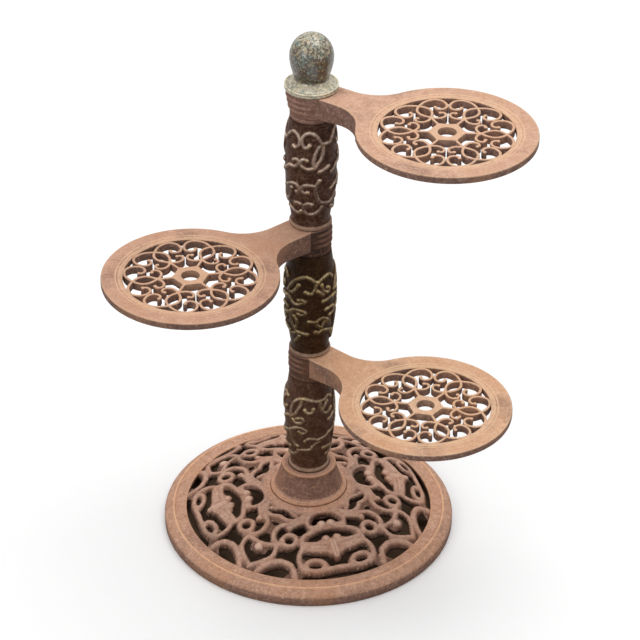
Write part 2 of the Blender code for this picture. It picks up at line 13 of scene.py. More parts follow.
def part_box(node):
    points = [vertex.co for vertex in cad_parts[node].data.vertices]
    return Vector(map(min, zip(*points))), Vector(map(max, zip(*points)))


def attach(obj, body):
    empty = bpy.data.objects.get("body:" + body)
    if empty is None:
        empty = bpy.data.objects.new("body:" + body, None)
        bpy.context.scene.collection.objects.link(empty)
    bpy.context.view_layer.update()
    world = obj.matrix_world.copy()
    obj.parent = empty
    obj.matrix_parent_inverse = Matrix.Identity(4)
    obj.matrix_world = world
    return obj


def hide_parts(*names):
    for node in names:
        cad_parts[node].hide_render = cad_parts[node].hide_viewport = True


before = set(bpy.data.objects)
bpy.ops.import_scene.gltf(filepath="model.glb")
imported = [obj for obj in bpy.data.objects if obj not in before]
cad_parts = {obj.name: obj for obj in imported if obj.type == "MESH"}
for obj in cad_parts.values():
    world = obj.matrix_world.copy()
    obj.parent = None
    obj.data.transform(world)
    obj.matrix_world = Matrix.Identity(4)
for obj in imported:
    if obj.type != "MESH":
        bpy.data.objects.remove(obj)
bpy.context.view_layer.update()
MM = 0.001
TAU = 2.0 * np.pi

# %% [markdown]
# ## The camera
# The stand is seen from the front and from well above, through a long lens. The camera could be placed by
# eye, but here its height, distance and lens come from the ellipses of the shelves and the lean of the
# post, so the render lies over the photograph. The small roll is the photographer's.

# %% Camera
CAMERA_TILT = 0.5738
CAMERA_REACH = 2609.8 * MM
CAMERA_TARGET = 267.85 * MM
CAMERA_ROLL = 0.007
FOCAL_PIXELS = 2623.47
FRAME_PIXELS = 640
AXIS_PIXEL = (309.987, 300.933)


def aimed_camera():
    """Look along the tilt, then turn by the few pixels between the aimed point and the frame's middle."""
    forward = Vector((0.0, np.cos(CAMERA_TILT), -np.sin(CAMERA_TILT)))
    level, rise = Vector((1.0, 0.0, 0.0)), Vector((0.0, np.sin(CAMERA_TILT), np.cos(CAMERA_TILT)))
    right = level * np.cos(CAMERA_ROLL) + rise * np.sin(CAMERA_ROLL)
    up = rise * np.cos(CAMERA_ROLL) - level * np.sin(CAMERA_ROLL)
    middle = FRAME_PIXELS / 2
    aim = forward * FOCAL_PIXELS + right * (middle - AXIS_PIXEL[0]) - up * (middle - AXIS_PIXEL[1])
    aim.normalize()
    right = (right - aim * right.dot(aim)).normalized()
    up = right.cross(aim)
    data = bpy.data.cameras.new("photo_camera")
    data.sensor_width = 36.0
    data.lens = FOCAL_PIXELS * data.sensor_width / FRAME_PIXELS
    camera = bpy.data.objects.new("photo_camera", data)
    turn = Matrix((right, up, -aim)).transposed().to_4x4()
    place = Vector((0.0, 0.0, CAMERA_TARGET)) - forward * CAMERA_REACH
    camera.matrix_world = Matrix.Translation(place) @ turn
    bpy.context.scene.collection.objects.link(camera)
    bpy.context.scene.camera = camera
    return camera


camera = aimed_camera()
print("camera lens", round(camera.data.lens, 1), "mm")

# %% [markdown]
# ## Nodes and colours
# Every finish below is a small web of shader nodes. One helper adds a node, sets its options and fills its
# inputs, and another turns the sRGB colours that a paint card would give into the linear values that
# the shader works in. The short ones after them are the steps that every web repeats.

# %% Node helpers
def linear(code):
    """sRGB hex to linear: v/12.92 below 0.04045, else ((v + 0.055)/1.055) to the power 2.4."""
    value = np.array([int(code[i : i + 2], 16) for i in (1, 3, 5)]) / 255.0
    value = np.where(value <= 0.04045, value / 12.92, ((value + 0.055) / 1.055) ** 2.4)
    return (*value.tolist(), 1.0)


def node(tree, kind, inputs=None, **options):
    """Add a node: options are its own settings, inputs are links where they are sockets, else constants."""
    made = tree.nodes.new("ShaderNode" + kind)
    for option, value in options.items():
        setattr(made, option, value)
    for key, value in (inputs or {}).items():
        if isinstance(value, bpy.types.NodeSocket):
            tree.links.new(value, made.inputs[key])
        else:
            made.inputs[key].default_value = value
    return made


def maths(tree, operation, a, b, **options):
    return node(tree, "Math", {0: a, 1: b}, operation=operation, **options).outputs[0]


def remap(tree, value, low=0.0, high=1.0, to_low=0.0, to_high=1.0, **options):
    """Stretch the range from low to high on to the range from to_low to to_high, and stop at its ends."""
    ranges = {"From Min": low, "From Max": high, "To Min": to_low, "To Max": to_high}
    return node(tree, "MapRange", {"Value": value, **ranges}, **options).outputs["Result"]


def blend(tree, share, *colours):
    """Mix two colours, each a hex code or a socket, by the second one's share."""
    first, second = (linear(colour) if isinstance(colour, str) else colour for colour in colours)
    return node(tree, "Mix", {0: share, 6: first, 7: second}, data_type="RGBA").outputs[2]


def texture(tree, kind, output, size, **inputs):
    """A texture in the piece's own coordinates, its features about size millimetres wide."""
    place = node(tree, "TexCoord").outputs["Object"]
    return node(tree, kind, {"Vector": place, "Scale": 1 / (size * MM), **inputs}).outputs[output]


def noise(tree, size, detail, roughness=0.5):
    return texture(tree, "TexNoise", "Fac", size, Detail=detail, Roughness=roughness)


def facing_up(tree):
    """The upward part of the normal: 1 on a top, 0 on a wall."""
    return node(tree, "SeparateXYZ", {0: node(tree, "NewGeometry").outputs["Normal"]}).outputs["Z"]


def read_wear_and_light(tree):
    return node(tree, "Attribute", attribute_name="wear_and_painted_light").outputs["Fac"]


def new_finish(name):
    finish = bpy.data.materials.new(name)
    finish.use_nodes = True
    return finish, finish.node_tree


def dress(tree, tone, skin, height, strength, depth, metal=None, specular=0.5):
    """Feed the shader a colour, a roughness, a bump of a strength and a depth in millimetres, and a metal share."""
    bump = node(tree, "Bump", {"Height": height, "Strength": strength, "Distance": depth * MM}).outputs["Normal"]
    shader = tree.nodes["Principled BSDF"]
    for key, socket in (("Base Color", tone), ("Roughness", skin), ("Metallic", metal), ("Normal", bump)):
        if socket is not None:
            tree.links.new(socket, shader.inputs[key])
    shader.inputs["Specular IOR Level"].default_value = specular


print("node helpers ready")

# %% [markdown]
# ## Floor and light
# The stand was photographed under an open sky and cut out on white. A large soft lamp overhead gives the
# bright tops and dark walls, and a weaker one models the post from the left. The floor and the world show
# white to the camera, and in reflections too, but send little light back up, so the walls stay dark.

# %% Floor, lamps and world
WORLD_LEVELS = (0.45, 1.0)
FLOOR_LEVELS = (0.22, 1.05)
FLOOR_HALF = 12.0
PAINTED_FLOOR_SHADE = (0.138, 0.146)
LAMPS = (("overhead_lamp", 5.0, 152.0, (0.6, 0.3, 4.6)), ("front_lamp", 2.5, 42.0, (-2.9, -3.2, 2.3)))
LAMP_TARGET = Vector((0.0, 0.0, 0.25))


def seen_white(tree, quiet, plain):
    """The plain level for rays that end in the eye or in a reflection, and the quiet level for all others."""
    rays = node(tree, "LightPath").outputs
    shown = maths(tree, "MAXIMUM", rays["Is Camera Ray"], rays["Is Glossy Ray"])
    shown = maths(tree, "MAXIMUM", shown, rays["Is Transmission Ray"])
    return remap(tree, shown, 0.0, 1.0, quiet, plain)


def soft_stage():
    """A pale floor, painted brown as shade under the base, a broad lamp overhead and a smaller one at the left front.
    """
    world = bpy.data.worlds.new("studio")
    world.use_nodes = True
    sky = world.node_tree.nodes["Background"]
    world.node_tree.links.new(seen_white(world.node_tree, *WORLD_LEVELS), sky.inputs["Strength"])
    sky.inputs["Color"].default_value = (1.0, 1.0, 1.0, 1.0)
    bpy.context.scene.world = world
    for name, size, power, place in LAMPS:
        data = bpy.data.lights.new(name, "AREA")
        data.size, data.energy = size, power
        lamp = bpy.data.objects.new(name, data)
        lamp.location = place
        lamp.rotation_euler = (Vector(place) - LAMP_TARGET).to_track_quat("Z", "Y").to_euler()
        bpy.context.scene.collection.objects.link(lamp)
    floor_paint, tree = new_finish("pale_floor")
    tree.nodes.clear()
    place = node(tree, "TexCoord").outputs["Object"]
    away = node(tree, "VectorMath", {0: place}, operation="LENGTH").outputs["Value"]
    level = seen_white(tree, *FLOOR_LEVELS)
    pale = node(tree, "CombineColor", {i: level for i in range(3)}).outputs[0]
    # Near the middle the floor turns brown: painted shade under the base.
    matt = node(tree, "BsdfDiffuse", {"Color": blend(tree, remap(tree, away, *PAINTED_FLOOR_SHADE), "#7a634f", pale)})
    node(tree, "OutputMaterial", {"Surface": matt.outputs[0]})
    mesh = bpy.data.meshes.new("floor")
    corners = [(x * FLOOR_HALF, y * FLOOR_HALF, 0.0) for x, y in ((-1, -1), (1, -1), (1, 1), (-1, 1))]
    mesh.from_pydata(corners, [], [(0, 1, 2, 3)])
    mesh.materials.append(floor_paint)
    floor = bpy.data.objects.new("floor", mesh)
    bpy.context.scene.collection.objects.link(floor)


soft_stage()
bpy.context.scene.view_settings.view_transform = "Standard"
print("stage set")

# %% [markdown]
# ## From arrays to meshes
# A casting here is one or more closed shells. A shell is a grid of points, rows by columns, worked out
# with numpy, and each row and each column may close into a ring. Alongside the points goes a number of
# wear and painted light for each. From 0 to 1 it says how worn that place is, which on the base's ropes,
# the hub ridges and the barrels' straps is partly a painted highlight. Below zero, down to -1, it is painted
# shade in hollows, webs and undersides, and on the barrels' beads a number below zero is a painted
# reflection. The finishes read it to lighten edges, gild the carving, paint highlights and darken the
# hollows with painted shade.

# %% Shells and pieces
def shell(points, ring_rows, ring_cols, wear_and_painted_light=0.0):
    """Quads between neighbouring rows and columns; a ring also joins its last line to its first."""
    rows, cols = points.shape[:2]
    steps = np.arange(rows - (not ring_rows)), np.arange(cols - (not ring_cols))
    i, j = np.meshgrid(*steps, indexing="ij")
    k, l = (i + 1) % rows, (j + 1) % cols
    faces = np.stack([i * cols + j, i * cols + l, k * cols + l, k * cols + j], axis=-1).reshape(-1, 4)
    return points.reshape(-1, 3), faces, np.broadcast_to(wear_and_painted_light, (rows, cols)).ravel()


def mesh_from(name, shells):
    """One mesh of all the shells, its doubled points merged and its faces turned outwards."""
    grids, quads, wear_and_light_lists = zip(*shells)
    starts = np.cumsum([0] + [len(grid) for grid in grids])
    points, wear_and_painted_light = np.concatenate(grids) * MM, np.concatenate(wear_and_light_lists)
    faces = np.concatenate([quad + start for quad, start in zip(quads, starts)])
    mesh = bpy.data.meshes.new(name)
    mesh.vertices.add(len(points))
    mesh.vertices.foreach_set("co", points.ravel())
    mesh.loops.add(faces.size)
    mesh.loops.foreach_set("vertex_index", faces.ravel())
    mesh.polygons.add(len(faces))
    mesh.polygons.foreach_set("loop_start", np.arange(0, faces.size, 4))
    mesh.update(calc_edges=True)
    mesh.attributes.new("wear_and_painted_light", "FLOAT", "POINT").data.foreach_set("value", wear_and_painted_light.astype(np.float32))
    form = bmesh.new()
    form.from_mesh(mesh)
    bmesh.ops.remove_doubles(form, verts=form.verts, dist=1e-6)
    bmesh.ops.recalc_face_normals(form, faces=form.faces)
    form.to_mesh(mesh)
    form.free()
    return mesh


def piece(name, shells, finish, body, cad):
    """Show the shells with their finish, let them ride on a body, and stand them in for a CAD node."""
    mesh = mesh_from(name, shells)
    mesh.shade_smooth()
    mesh.materials.append(finish)
    made = bpy.data.objects.new(name, mesh)
    bpy.context.scene.collection.objects.link(made)
    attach(made, body)
    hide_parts(cad)
    mesh.calc_loop_triangles()
    print(name, len(mesh.loop_triangles), "triangles")


# %% [markdown]
# ## Turned and swept forms
# The rim, the foot, the hubs and the finial are turned: an outline spun about the post. The scrolls are
# swept: a section carried along a path that is drawn from above. Blender's Screw modifier and curve bevel
# could do both, but arrays keep every point in hand, so wear can be given along the way.

# %% Outlines, revolutions and sweeps
def rounded(corners, radius, steps=4):
    """Replace each corner c by a parabola: (1-t)^2 a + 2t(1-t) c + t^2 b, where a and b lie a radius away
    from c on its two sides. A point a little further out on each side keeps the flats flat."""
    corners = np.asarray(corners, float)
    before, after = np.roll(corners, 1, axis=0) - corners, np.roll(corners, -1, axis=0) - corners
    long_before = np.linalg.norm(before, axis=1, keepdims=True)
    long_after = np.linalg.norm(after, axis=1, keepdims=True)
    shorter = np.minimum(long_before, long_after)[:, 0]
    reach = np.minimum(np.broadcast_to(radius, len(corners)), 0.4 * shorter)[:, None]
    a, b = corners + before / long_before * reach, corners + after / long_after * reach
    t = np.linspace(0.0, 1.0, steps + 1)[None, :, None]
    arc = (1 - t) ** 2 * a[:, None] + 2 * t * (1 - t) * corners[:, None] + t**2 * b[:, None]
    near, far = a + 0.2 * (a - corners), b + 0.2 * (b - corners)
    return np.concatenate([near[:, None], arc, far[:, None]], axis=1).reshape(-1, 2)


def polar(radius, turn):
    """Places on a level: x = r cos t, y = r sin t."""
    return np.column_stack([radius * np.cos(turn), radius * np.sin(turn)])


def around(radius, turn, z):
    """Places about the post, at a radius and a turn that each may change from place to place."""
    return np.stack(np.broadcast_arrays(radius * np.cos(turn), radius * np.sin(turn), z), axis=-1)


def capped(tube):
    """Close both ends of a tube on their own middles."""
    caps = np.broadcast_to(tube[[0, -1]].mean(axis=1, keepdims=True), (2, *tube.shape[1:]))
    return np.concatenate([caps[:1], tube, caps[1:]])


def revolve(outline, steps=192, wear_and_painted_light=0.0):
    """Spin (r, z) about the post: x = r cos t, y = r sin t. An outline that ends on the axis stays open."""
    turn = np.linspace(0.0, TAU, steps, endpoint=False)[:, None]
    r, z = outline.T
    return shell(around(r, turn, z), True, bool(r[0] > 0.0 or r[-1] > 0.0), wear_and_painted_light)


def spline(guides, pieces=10):
    """Catmull-Rom: between guides b and c, with a before and d after, the point at t is half of
    2b + (c-a)t + (2a-5b+4c-d)t^2 + (3b-a-3c+d)t^3."""
    guides = np.asarray(guides, float)
    line = np.vstack([2 * guides[0] - guides[1], guides, 2 * guides[-1] - guides[-2]])
    a, b, c, d = line[:-3, None], line[1:-2, None], line[2:-1, None], line[3:, None]
    t = np.linspace(0.0, 1.0, pieces, endpoint=False)[None, :, None]
    curve = 2 * b + (c - a) * t + (2 * a - 5 * b + 4 * c - d) * t**2 + (3 * b - a - 3 * c + d) * t**3
    return np.vstack([0.5 * curve.reshape(-1, line.shape[1]), guides[-1]])


def carry(path, section, wear_and_painted_light=0.0):
    """Carry a section (across, up) along a level path: across is level and square to the path."""
    along = np.gradient(path, axis=0)
    along /= np.linalg.norm(along, axis=1, keepdims=True)
    side = np.column_stack([-along[:, 1], along[:, 0]])[:, None]
    across, up = section[None, :, :1], section[None, :, 1:]
    level = path[:, None] + across * side
    points = np.concatenate([level, np.broadcast_to(up, (*level.shape[:2], 1))], axis=2)
    return shell(capped(points), False, True, wear_and_painted_light)


def stroke_distance(points, stroke):
    """From each point to each straight bit of the stroke: drop it on the bit, clamp to its ends, and keep
    the least distance."""
    a, bit = stroke[:-1], np.diff(stroke, axis=0)
    share = np.einsum("psk,sk->ps", points[:, None] - a, bit) / np.sum(bit**2, axis=1)
    foot = a + np.clip(share, 0.0, 1.0)[..., None] * bit
    return np.linalg.norm(points[:, None] - foot, axis=2).min(axis=1)


def placed(part, turn=0.0, shift=(0.0, 0.0, 0.0), flip=False):
    """A shell mirrored across y if asked, turned about z and then shifted."""
    points, faces, wear_and_painted_light = part
    c, s = np.cos(turn), np.sin(turn)
    points = points * np.array([1.0, -1.0 if flip else 1.0, 1.0])
    return points @ np.array([[c, s, 0.0], [-s, c, 0.0], [0.0, 0.0, 1.0]]) + np.array(shift), faces, wear_and_painted_light


print("outline helpers ready")

# %% [markdown]
# ## Rusted cast iron
# Sand-cast iron that has stood outdoors for years: a dry, grainy skin of brown oxide, paler and dustier on
# faces that look up and darker on the walls, which is partly painted light and shade, orange where an edge
# is rubbed, with fine pits. Oxide is no metal to the eye, so the shader stays dielectric and rough. Base,
# foot and shelves share the recipe and differ in tone, and part of that difference is painted light.

# %% Rusted iron finishes
def rusted_iron(name, top, top_pale, wall, wall_dark, rust, rubbed_and_highlit):
    """Mottled oxide: pale on faces that look up and dark on walls, partly as painted light and shade, rust in patches,
    rubbed along worn edges and partly highlit there with painted light, dark in hollows with painted shade.
    """
    finish, tree = new_finish(name)
    # Patches of 38 mm, mottling of 7 mm, casting grain of 2.4 mm and pits 3.4 mm apart.
    patch, mottle, grain = noise(tree, 38, 3.0), noise(tree, 7, 6.0, 0.75), noise(tree, 2.4, 3.0, 0.6)
    pits = texture(tree, "TexVoronoi", "Distance", 3.4, Randomness=1.0)
    mottled, grainy = remap(tree, mottle, 0.38, 0.62), remap(tree, grain, 0.33, 0.67)
    wear_and_painted_light = read_wear_and_light(tree)
    # Dust lies on the tops, and the walls stay dark and speckled; the paler tops and darker walls are also painted
    # light and shade.
    dusty = node(tree, "Mix", {0: 0.5, 2: mottled, 3: grainy}).outputs[0]
    beside = blend(tree, maths(tree, "MULTIPLY", mottled, grainy), wall_dark, wall)
    dust_and_painted_top_light = remap(tree, facing_up(tree), 0.1, 0.9, interpolation_type="SMOOTHSTEP")
    tone = blend(tree, dust_and_painted_top_light, beside, blend(tree, dusty, top, top_pale))
    # Some patches are warm with rust and others cool and bare. Where the number is below zero, in hollows, webs and
    # undersides, the colour is darkened with painted shade.
    tone = blend(tree, remap(tree, patch, 0.48, 0.7, 0.0, 0.45), tone, rust)
    tone = blend(tree, remap(tree, patch, 0.46, 0.3, 0.0, 0.5), tone, beside)
    tone = blend(tree, remap(tree, wear_and_painted_light, 0.0, -1.0, 0.0, 0.7), tone, wall_dark)
    # Worn edges are rubbed bright in places, and single grains too. On the ropes' crests and the hub ridges this
    # brightening is partly a painted highlight.
    edge = maths(tree, "MULTIPLY", maths(tree, "MAXIMUM", wear_and_painted_light, 0.0), remap(tree, mottle, 0.3, 0.55, 0.45))
    tone = blend(tree, edge, tone, rubbed_and_highlit)
    tone = blend(tree, remap(tree, grain, 0.6, 0.72, 0.0, 0.55), tone, rubbed_and_highlit)
    pitted = maths(tree, "MULTIPLY", remap(tree, pits, 0.08, 0.3, 0.5, 0.0), remap(tree, mottle, 0.5, 0.62))
    tone = blend(tree, pitted, tone, wall_dark)
    skin = remap(tree, mottle, 0.0, 1.0, 0.95, 0.7)
    dress(tree, tone, skin, maths(tree, "SUBTRACT", grainy, pitted), 0.55, 0.5, specular=0.3)
    return finish


# Top, pale top, wall, dark wall, rust and rubbed and highlit edge of each casting. The walls are darker than
# the tops partly as painted shade, and the lower shelf's tones are lighter to make up for the shade that
# the shelves above cast on it, which is painted light.
RUST_TONES = {
    "base": ("#ae8067", "#e3b69c", "#c39886", "#8a6858", "#c48e69", "#f6c29a"),
    "grille": ("#9a705d", "#d4a892", "#8b6c5a", "#553d30", "#b07c60", "#ecc6ae"),
    "foot": ("#b88a74", "#d8af9a", "#b0866f", "#6f5144", "#b58164", "#e2aa83"),
    "lower_hub": ("#a57a66", "#bd9280", "#785746", "#452f26", "#8c5f48", "#b3846a"),
    "middle_hub": ("#94705f", "#b08775", "#644736", "#33211a", "#7a4f38", "#a8795f"),
    "upper_hub": ("#b58a76", "#cda28f", "#c49b8b", "#876558", "#b4836e", "#d6a992"),
    "lower_shelf": ("#d3a07e", "#f1c5a2", "#ba917f", "#7d6053", "#dba27a", "#f5cea9"),
    "middle_shelf": ("#b88b72", "#d6ab91", "#b08a79", "#765a4f", "#c18e6e", "#e6bd9a"),
    "upper_shelf": ("#c3957a", "#e2b99f", "#bd9686", "#7f6257", "#c99573", "#ecc4a0"),
}
rusts = {part: rusted_iron(part + "_rusted_cast_iron", *tones) for part, tones in RUST_TONES.items()}
print(len(rusts), "rusted finishes:", *rusts)

# %% [markdown]
# ## Base: the rim
# The base stands on a turned rim: a low wall, a tan slope, a thin crest line rubbed orange, a fine groove
# and a flat band that carries the grille. One outline, spun, with wear given to its crest alone.

# %% Base rim and collar
RIM_RADIUS = 150.4
RIM_INNER = 127.5
COLLAR_RADIUS = 48.4
SOCKET_RADIUS = 39.9
CREST_HEIGHT = 17.1
BORE_RADIUS = 5.1
DOME_RISE = 23.6


def rim_shell():
    outline = np.array([
        (144.5, 0.0), (149.6, 0.0), (RIM_RADIUS, 0.8), (RIM_RADIUS, 8.6), (150.0, 9.8), (149.0, 10.9),
        (147.2, 12.3), (144.6, 14.1), (142.6, 15.5), (142.0, 15.9), (141.5, 16.7), (140.9, 17.1),
        (140.2, 16.9), (139.7, 16.2), (139.2, 15.7), (138.5, 15.7), (137.9, 16.2), (137.0, 16.5),
        (134.5, 16.6), (129.6, 16.7), (128.4, 16.5), (127.6, 15.9), (RIM_INNER, 15.0), (RIM_INNER, 10.6),
        (140.9, 10.6), (144.5, 3.8),
    ])
    wear_and_painted_light = np.zeros(len(outline))
    wear_and_painted_light[9:14] = 0.35, 0.9, 1.0, 0.9, 0.4
    wear_and_painted_light[20:22] = 0.5
    return revolve(outline, 288, wear_and_painted_light)


def collar_shell():
    outline = rounded(
        [(COLLAR_RADIUS, 30.7), (COLLAR_RADIUS, 40.4), (SOCKET_RADIUS, 40.9), (SOCKET_RADIUS, 38.7),
         (BORE_RADIUS, 38.7), (BORE_RADIUS, 30.7)],
        [1.0, 3.5, 0.6, 0.3, 0.3, 0.3],
    )
    return revolve(outline, 128)


piece("base_rim", [rim_shell()], rusts["base"], "post", "base_plate")
piece("base_collar", [collar_shell()], rusts["base"], "post", "base_plate")

# %% [markdown]
# ## Base: the pierced dome
# Between rim and collar the base is cast scrollwork: four equal units, each a cartouche with a palmette
# in it, between rolled scrolls. It is easier to draw the openings than the iron. Each is a smooth outline
# in polar places: the angle from the unit's middle, and the share of the way from collar to rim.

# %% Base openings
GRILLE_TURN = np.radians(-74.0)
GRILLE_UNITS = 4
HALF_UNIT = 45.0
OPENINGS = [
    [(0, 0.935), (5, 0.945), (10.5, 0.962), (15, 0.95), (18, 0.96), (17.6, 1.01), (9, 1.01), (0, 1.01)],
    [(14.6, 0.838), (12.3, 0.88), (10, 0.838), (12.3, 0.798)],
    [(0, 0.848), (3.5, 0.826), (5.5, 0.77), (8.5, 0.728), (13, 0.715), (17, 0.733), (18.4, 0.712), (17, 0.682),
     (12, 0.676), (7, 0.692), (3.5, 0.738), (0, 0.752)],
    [(0, 0.425), (3.8, 0.404), (6.8, 0.435), (8.8, 0.478), (12.5, 0.493), (15.4, 0.49), (14.2, 0.44), (10, 0.394),
     (5, 0.35), (0, 0.325)],
    [(0, 0.155), (3.8, 0.133), (7.2, 0.155), (9, 0.195), (11.2, 0.2), (12.4, 0.16), (11.2, 0.115), (8.5, 0.064),
     (4.5, 0.03), (0, 0.02)],
    [(21.6, 0.84), (23.5, 0.78), (28, 0.757), (32.3, 0.757), (33, 0.715), (32, 0.675), (26.5, 0.64),
     (22.2, 0.595), (22.6, 0.68), (22, 0.76)],
    [(25.8, 0.91), (27.5, 0.955), (29.4, 1.01), (33.5, 1.01), (37.4, 1.01), (36, 0.95), (32.5, 0.895), (28.5, 0.868),
     (26.3, 0.88)],
    [(31.4, 0.515), (28.8, 0.56), (26.2, 0.515), (28.8, 0.47)],
    [(35.5, 0.485), (34, 0.43), (32.4, 0.385), (35.5, 0.338), (38, 0.318), (38.8, 0.37), (37.5, 0.44)],
    [(18.2, 0.305), (19.5, 0.36), (23.5, 0.386), (28, 0.36), (29, 0.325), (27, 0.265), (23, 0.209), (20, 0.245)],
    [(45, 0.08), (40, 0.108), (35, 0.128), (30, 0.118), (27.2, 0.088), (30.5, 0.064), (34.5, 0.072),
     (38, 0.05), (41.5, 0.02), (45, 0.014)],
    [(45, 0.888), (42, 0.835), (39, 0.79), (36.8, 0.735), (36.8, 0.675), (38.6, 0.668), (39.3, 0.728),
     (41.5, 0.762), (45, 0.774)],
    [(45, 0.605), (43, 0.585), (41.6, 0.555), (43.2, 0.5), (45, 0.455)],
    [(45, 0.285), (43.6, 0.272), (42.4, 0.258), (45, 0.245)],
]


def dome(x, y):
    """Crest height at the rim, DOME_RISE higher at the collar: rise times 1 - share^2.6."""
    share = (np.hypot(x, y) - SOCKET_RADIUS) / (RIM_INNER - SOCKET_RADIUS)
    return CREST_HEIGHT - 0.4 + DOME_RISE * (1.0 - np.clip(share, 0.0, 1.0) ** 2.6)


def on_dome(xy, lift=0.0):
    """Points drawn from above, laid on the dome."""
    return np.column_stack([xy, dome(xy[:, 0], xy[:, 1]) + lift])


def plan(places):
    """Places (angle in degrees from the unit's middle, share from collar to rim) as x and y."""
    places = np.asarray(places, float)
    angle, radius = np.radians(places[:, 0]), COLLAR_RADIUS + places[:, 1] * (RIM_INNER - COLLAR_RADIUS)
    return polar(radius, angle)


def onward(places, line):
    """A half drawn up to a mirror line, carried on into its mirror image."""
    return [*places, *[(2 * line - angle, share) for angle, share in places[-2::-1]]]


def loop(guides, pieces=6):
    """The spline through guides that close on themselves."""
    line = spline(np.vstack([guides[-1:], guides, guides[:2]]), pieces)
    return line[pieces : pieces * (len(guides) + 1)]


def on_line(places):
    """The mirror line that an outline starts and ends on, or None."""
    return next((line for line in (0.0, HALF_UNIT) if places[0][0] == places[-1][0] == line), None)


def outlines():
    """All the openings that touch half a unit, as loops of x and y."""
    lines = [on_line(places) for places in OPENINGS]
    halves = zip(OPENINGS, lines)
    return [loop(plan(places if line is None else onward(places, line)[:-1])) for places, line in halves]


def inside(points, outline):
    """Even-odd rule: a point is inside if a ray from it towards +x crosses an odd number of sides."""
    a, b = outline, np.roll(outline, -1, axis=0)
    x, y = points[:, :1], points[:, 1:]
    spans = (a[:, 1] > y) != (b[:, 1] > y)
    rise = np.where(b[:, 1] == a[:, 1], 1.0, b[:, 1] - a[:, 1])
    crossing = a[:, 0] + (y - a[:, 1]) / rise * (b[:, 0] - a[:, 0])
    return np.count_nonzero(spans & (x < crossing), axis=1) % 2 == 1


def iron_depth(points, loops):
    """How far each point lies in from the nearest opening's edge: negative inside an opening."""
    depth = np.full(len(points), 99.0)
    for outline in loops:
        away = stroke_distance(points, np.vstack([outline, outline[:1]]))
        depth = np.minimum(depth, np.where(inside(points, outline), -away, away))
    return depth


print(sum(1 if on_line(places) is not None else 2 for places in OPENINGS), "openings in a unit")

# %% [markdown]
# ## Base: the casting
# The iron between the openings is cast as round ropes over a sunk web. A Boolean would cut so many openings
# slowly and leave hard edges. Here the dome is a height field over half a unit: each rope is drawn as a
# line, and the height over it is a half round. Cells that lie in an opening and under no rope are dropped,
# the points along the cut are moved on to its edge, and walls go down to the underside. Mirrored and
# turned, eight halves make the base.

# %% Base ropes
ROPES = [
    ([(8.5, 0.893), (5, 0.886), (2.5, 0.882), (0, 0.88)], 3.3),
    ([(16, 0.905), (19, 0.862), (20.7, 0.79), (20.9, 0.71), (20, 0.645), (18, 0.605)], 3.2),
    ([(19.4, 0.6), (20.2, 0.54), (19.8, 0.465), (17.8, 0.405), (14, 0.362), (9, 0.315), (4.5, 0.262)], 3.2),
    ([(13.5, 0.3), (9, 0.265), (4.5, 0.225)], 3.4),
    ([(11.8, 0.275), (15.6, 0.258), (17.4, 0.2), (17.3, 0.13), (15, 0.055), (10.5, 0), (5, -0.028), (0, -0.035)], 2.9),
    ([(32.5, 0.585), (36.5, 0.575), (39.4, 0.52), (40.6, 0.44), (40.2, 0.35), (37.6, 0.285), (33, 0.24), (28, 0.2),
      (23.5, 0.15), (20.5, 0.09)], 3.1),
    ([(20.5, 0.18), (24, 0.205), (28, 0.252), (31, 0.315)], 2.8),
    ([(21.8, 1.01), (22.7, 0.93), (24.3, 0.86), (27, 0.825), (30.5, 0.813), (34, 0.838), (37, 0.885), (39.3, 0.945),
      (40.5, 1.01)], 3.8),
    ([(35.7, 0.59), (35, 0.66), (35, 0.73), (36.3, 0.79), (39, 0.845), (42, 0.895), (45, 0.945)], 3.1),
    ([(35.5, 0.622), (40, 0.628), (45, 0.64)], 2.6),
    ([(29.8, 0.072), (33.5, 0.05), (37, 0.02), (41, -0.02), (45, -0.035)], 2.6),
    ([(45, 0.14), (40, 0.165), (35, 0.178), (30, 0.165), (26, 0.125), (22, 0.06), (17, 0.01)], 2.9),
    ([(0.5, 0.695), (5.5, 0.65), (10, 0.642), (14.5, 0.632), (18.5, 0.61)], 3.3),
    ([(2.5, 0.545), (6, 0.54), (10, 0.546), (14, 0.545), (18.5, 0.555)], 3.6),
    ([(45, 0.635), (45, 0.66), (45, 0.7)], 2.8),
]
RINGS = [
    ([(17, 0.84), (15.5, 0.887), (12, 0.906), (8.5, 0.887), (7, 0.84), (8.5, 0.793), (12, 0.774), (15.5, 0.793)], 3.2),
    ([(33.3, 0.512), (31.9, 0.575), (28.6, 0.602), (25.3, 0.575), (23.9, 0.512), (25.3, 0.449), (28.6, 0.422),
      (31.9, 0.449)], 3.4),
]
KNOBS = [
    ([(45, 0.705)], 5.2, 1.2), ([(3.9, 0.475)], 4.7, 0.6), ([(4.3, 0.222)], 4.9, 1), ([(31.2, 0.322)], 3.9, 0.6),
    ([(30, 0.074)], 3.2, 0.3), ([(0, 0.735), (0, 0.62), (0, 0.53)], 3.8, 1.2),
    ([(0, 0.61), (8, 0.6), (17, 0.59)], 6.4, -0.7), ([(0, 0.53), (7, 0.54)], 6.4, -0.8),
    ([(0, 0.25), (5, 0.25), (11, 0.29)], 5.5, -0.9), ([(5, 0.606), (9, 0.604), (14, 0.594)], 1.6, 0.5),
]
ROPE_SINK = 3.4


def strands():
    """Every rope, ring and knob as its line in x and y, half its width and its lift above the dome."""
    lines = [(spline(plan(places), 6), half, 0.0) for places, half in ROPES]
    lines += [(loop(plan([*places, places[0]])), half, 0.0) for places, half in RINGS]
    for places, half, lift in KNOBS:
        angle, share = places[-1]
        lines.append((plan([*places, (angle, share + 1e-4)]), half, lift))
    return lines


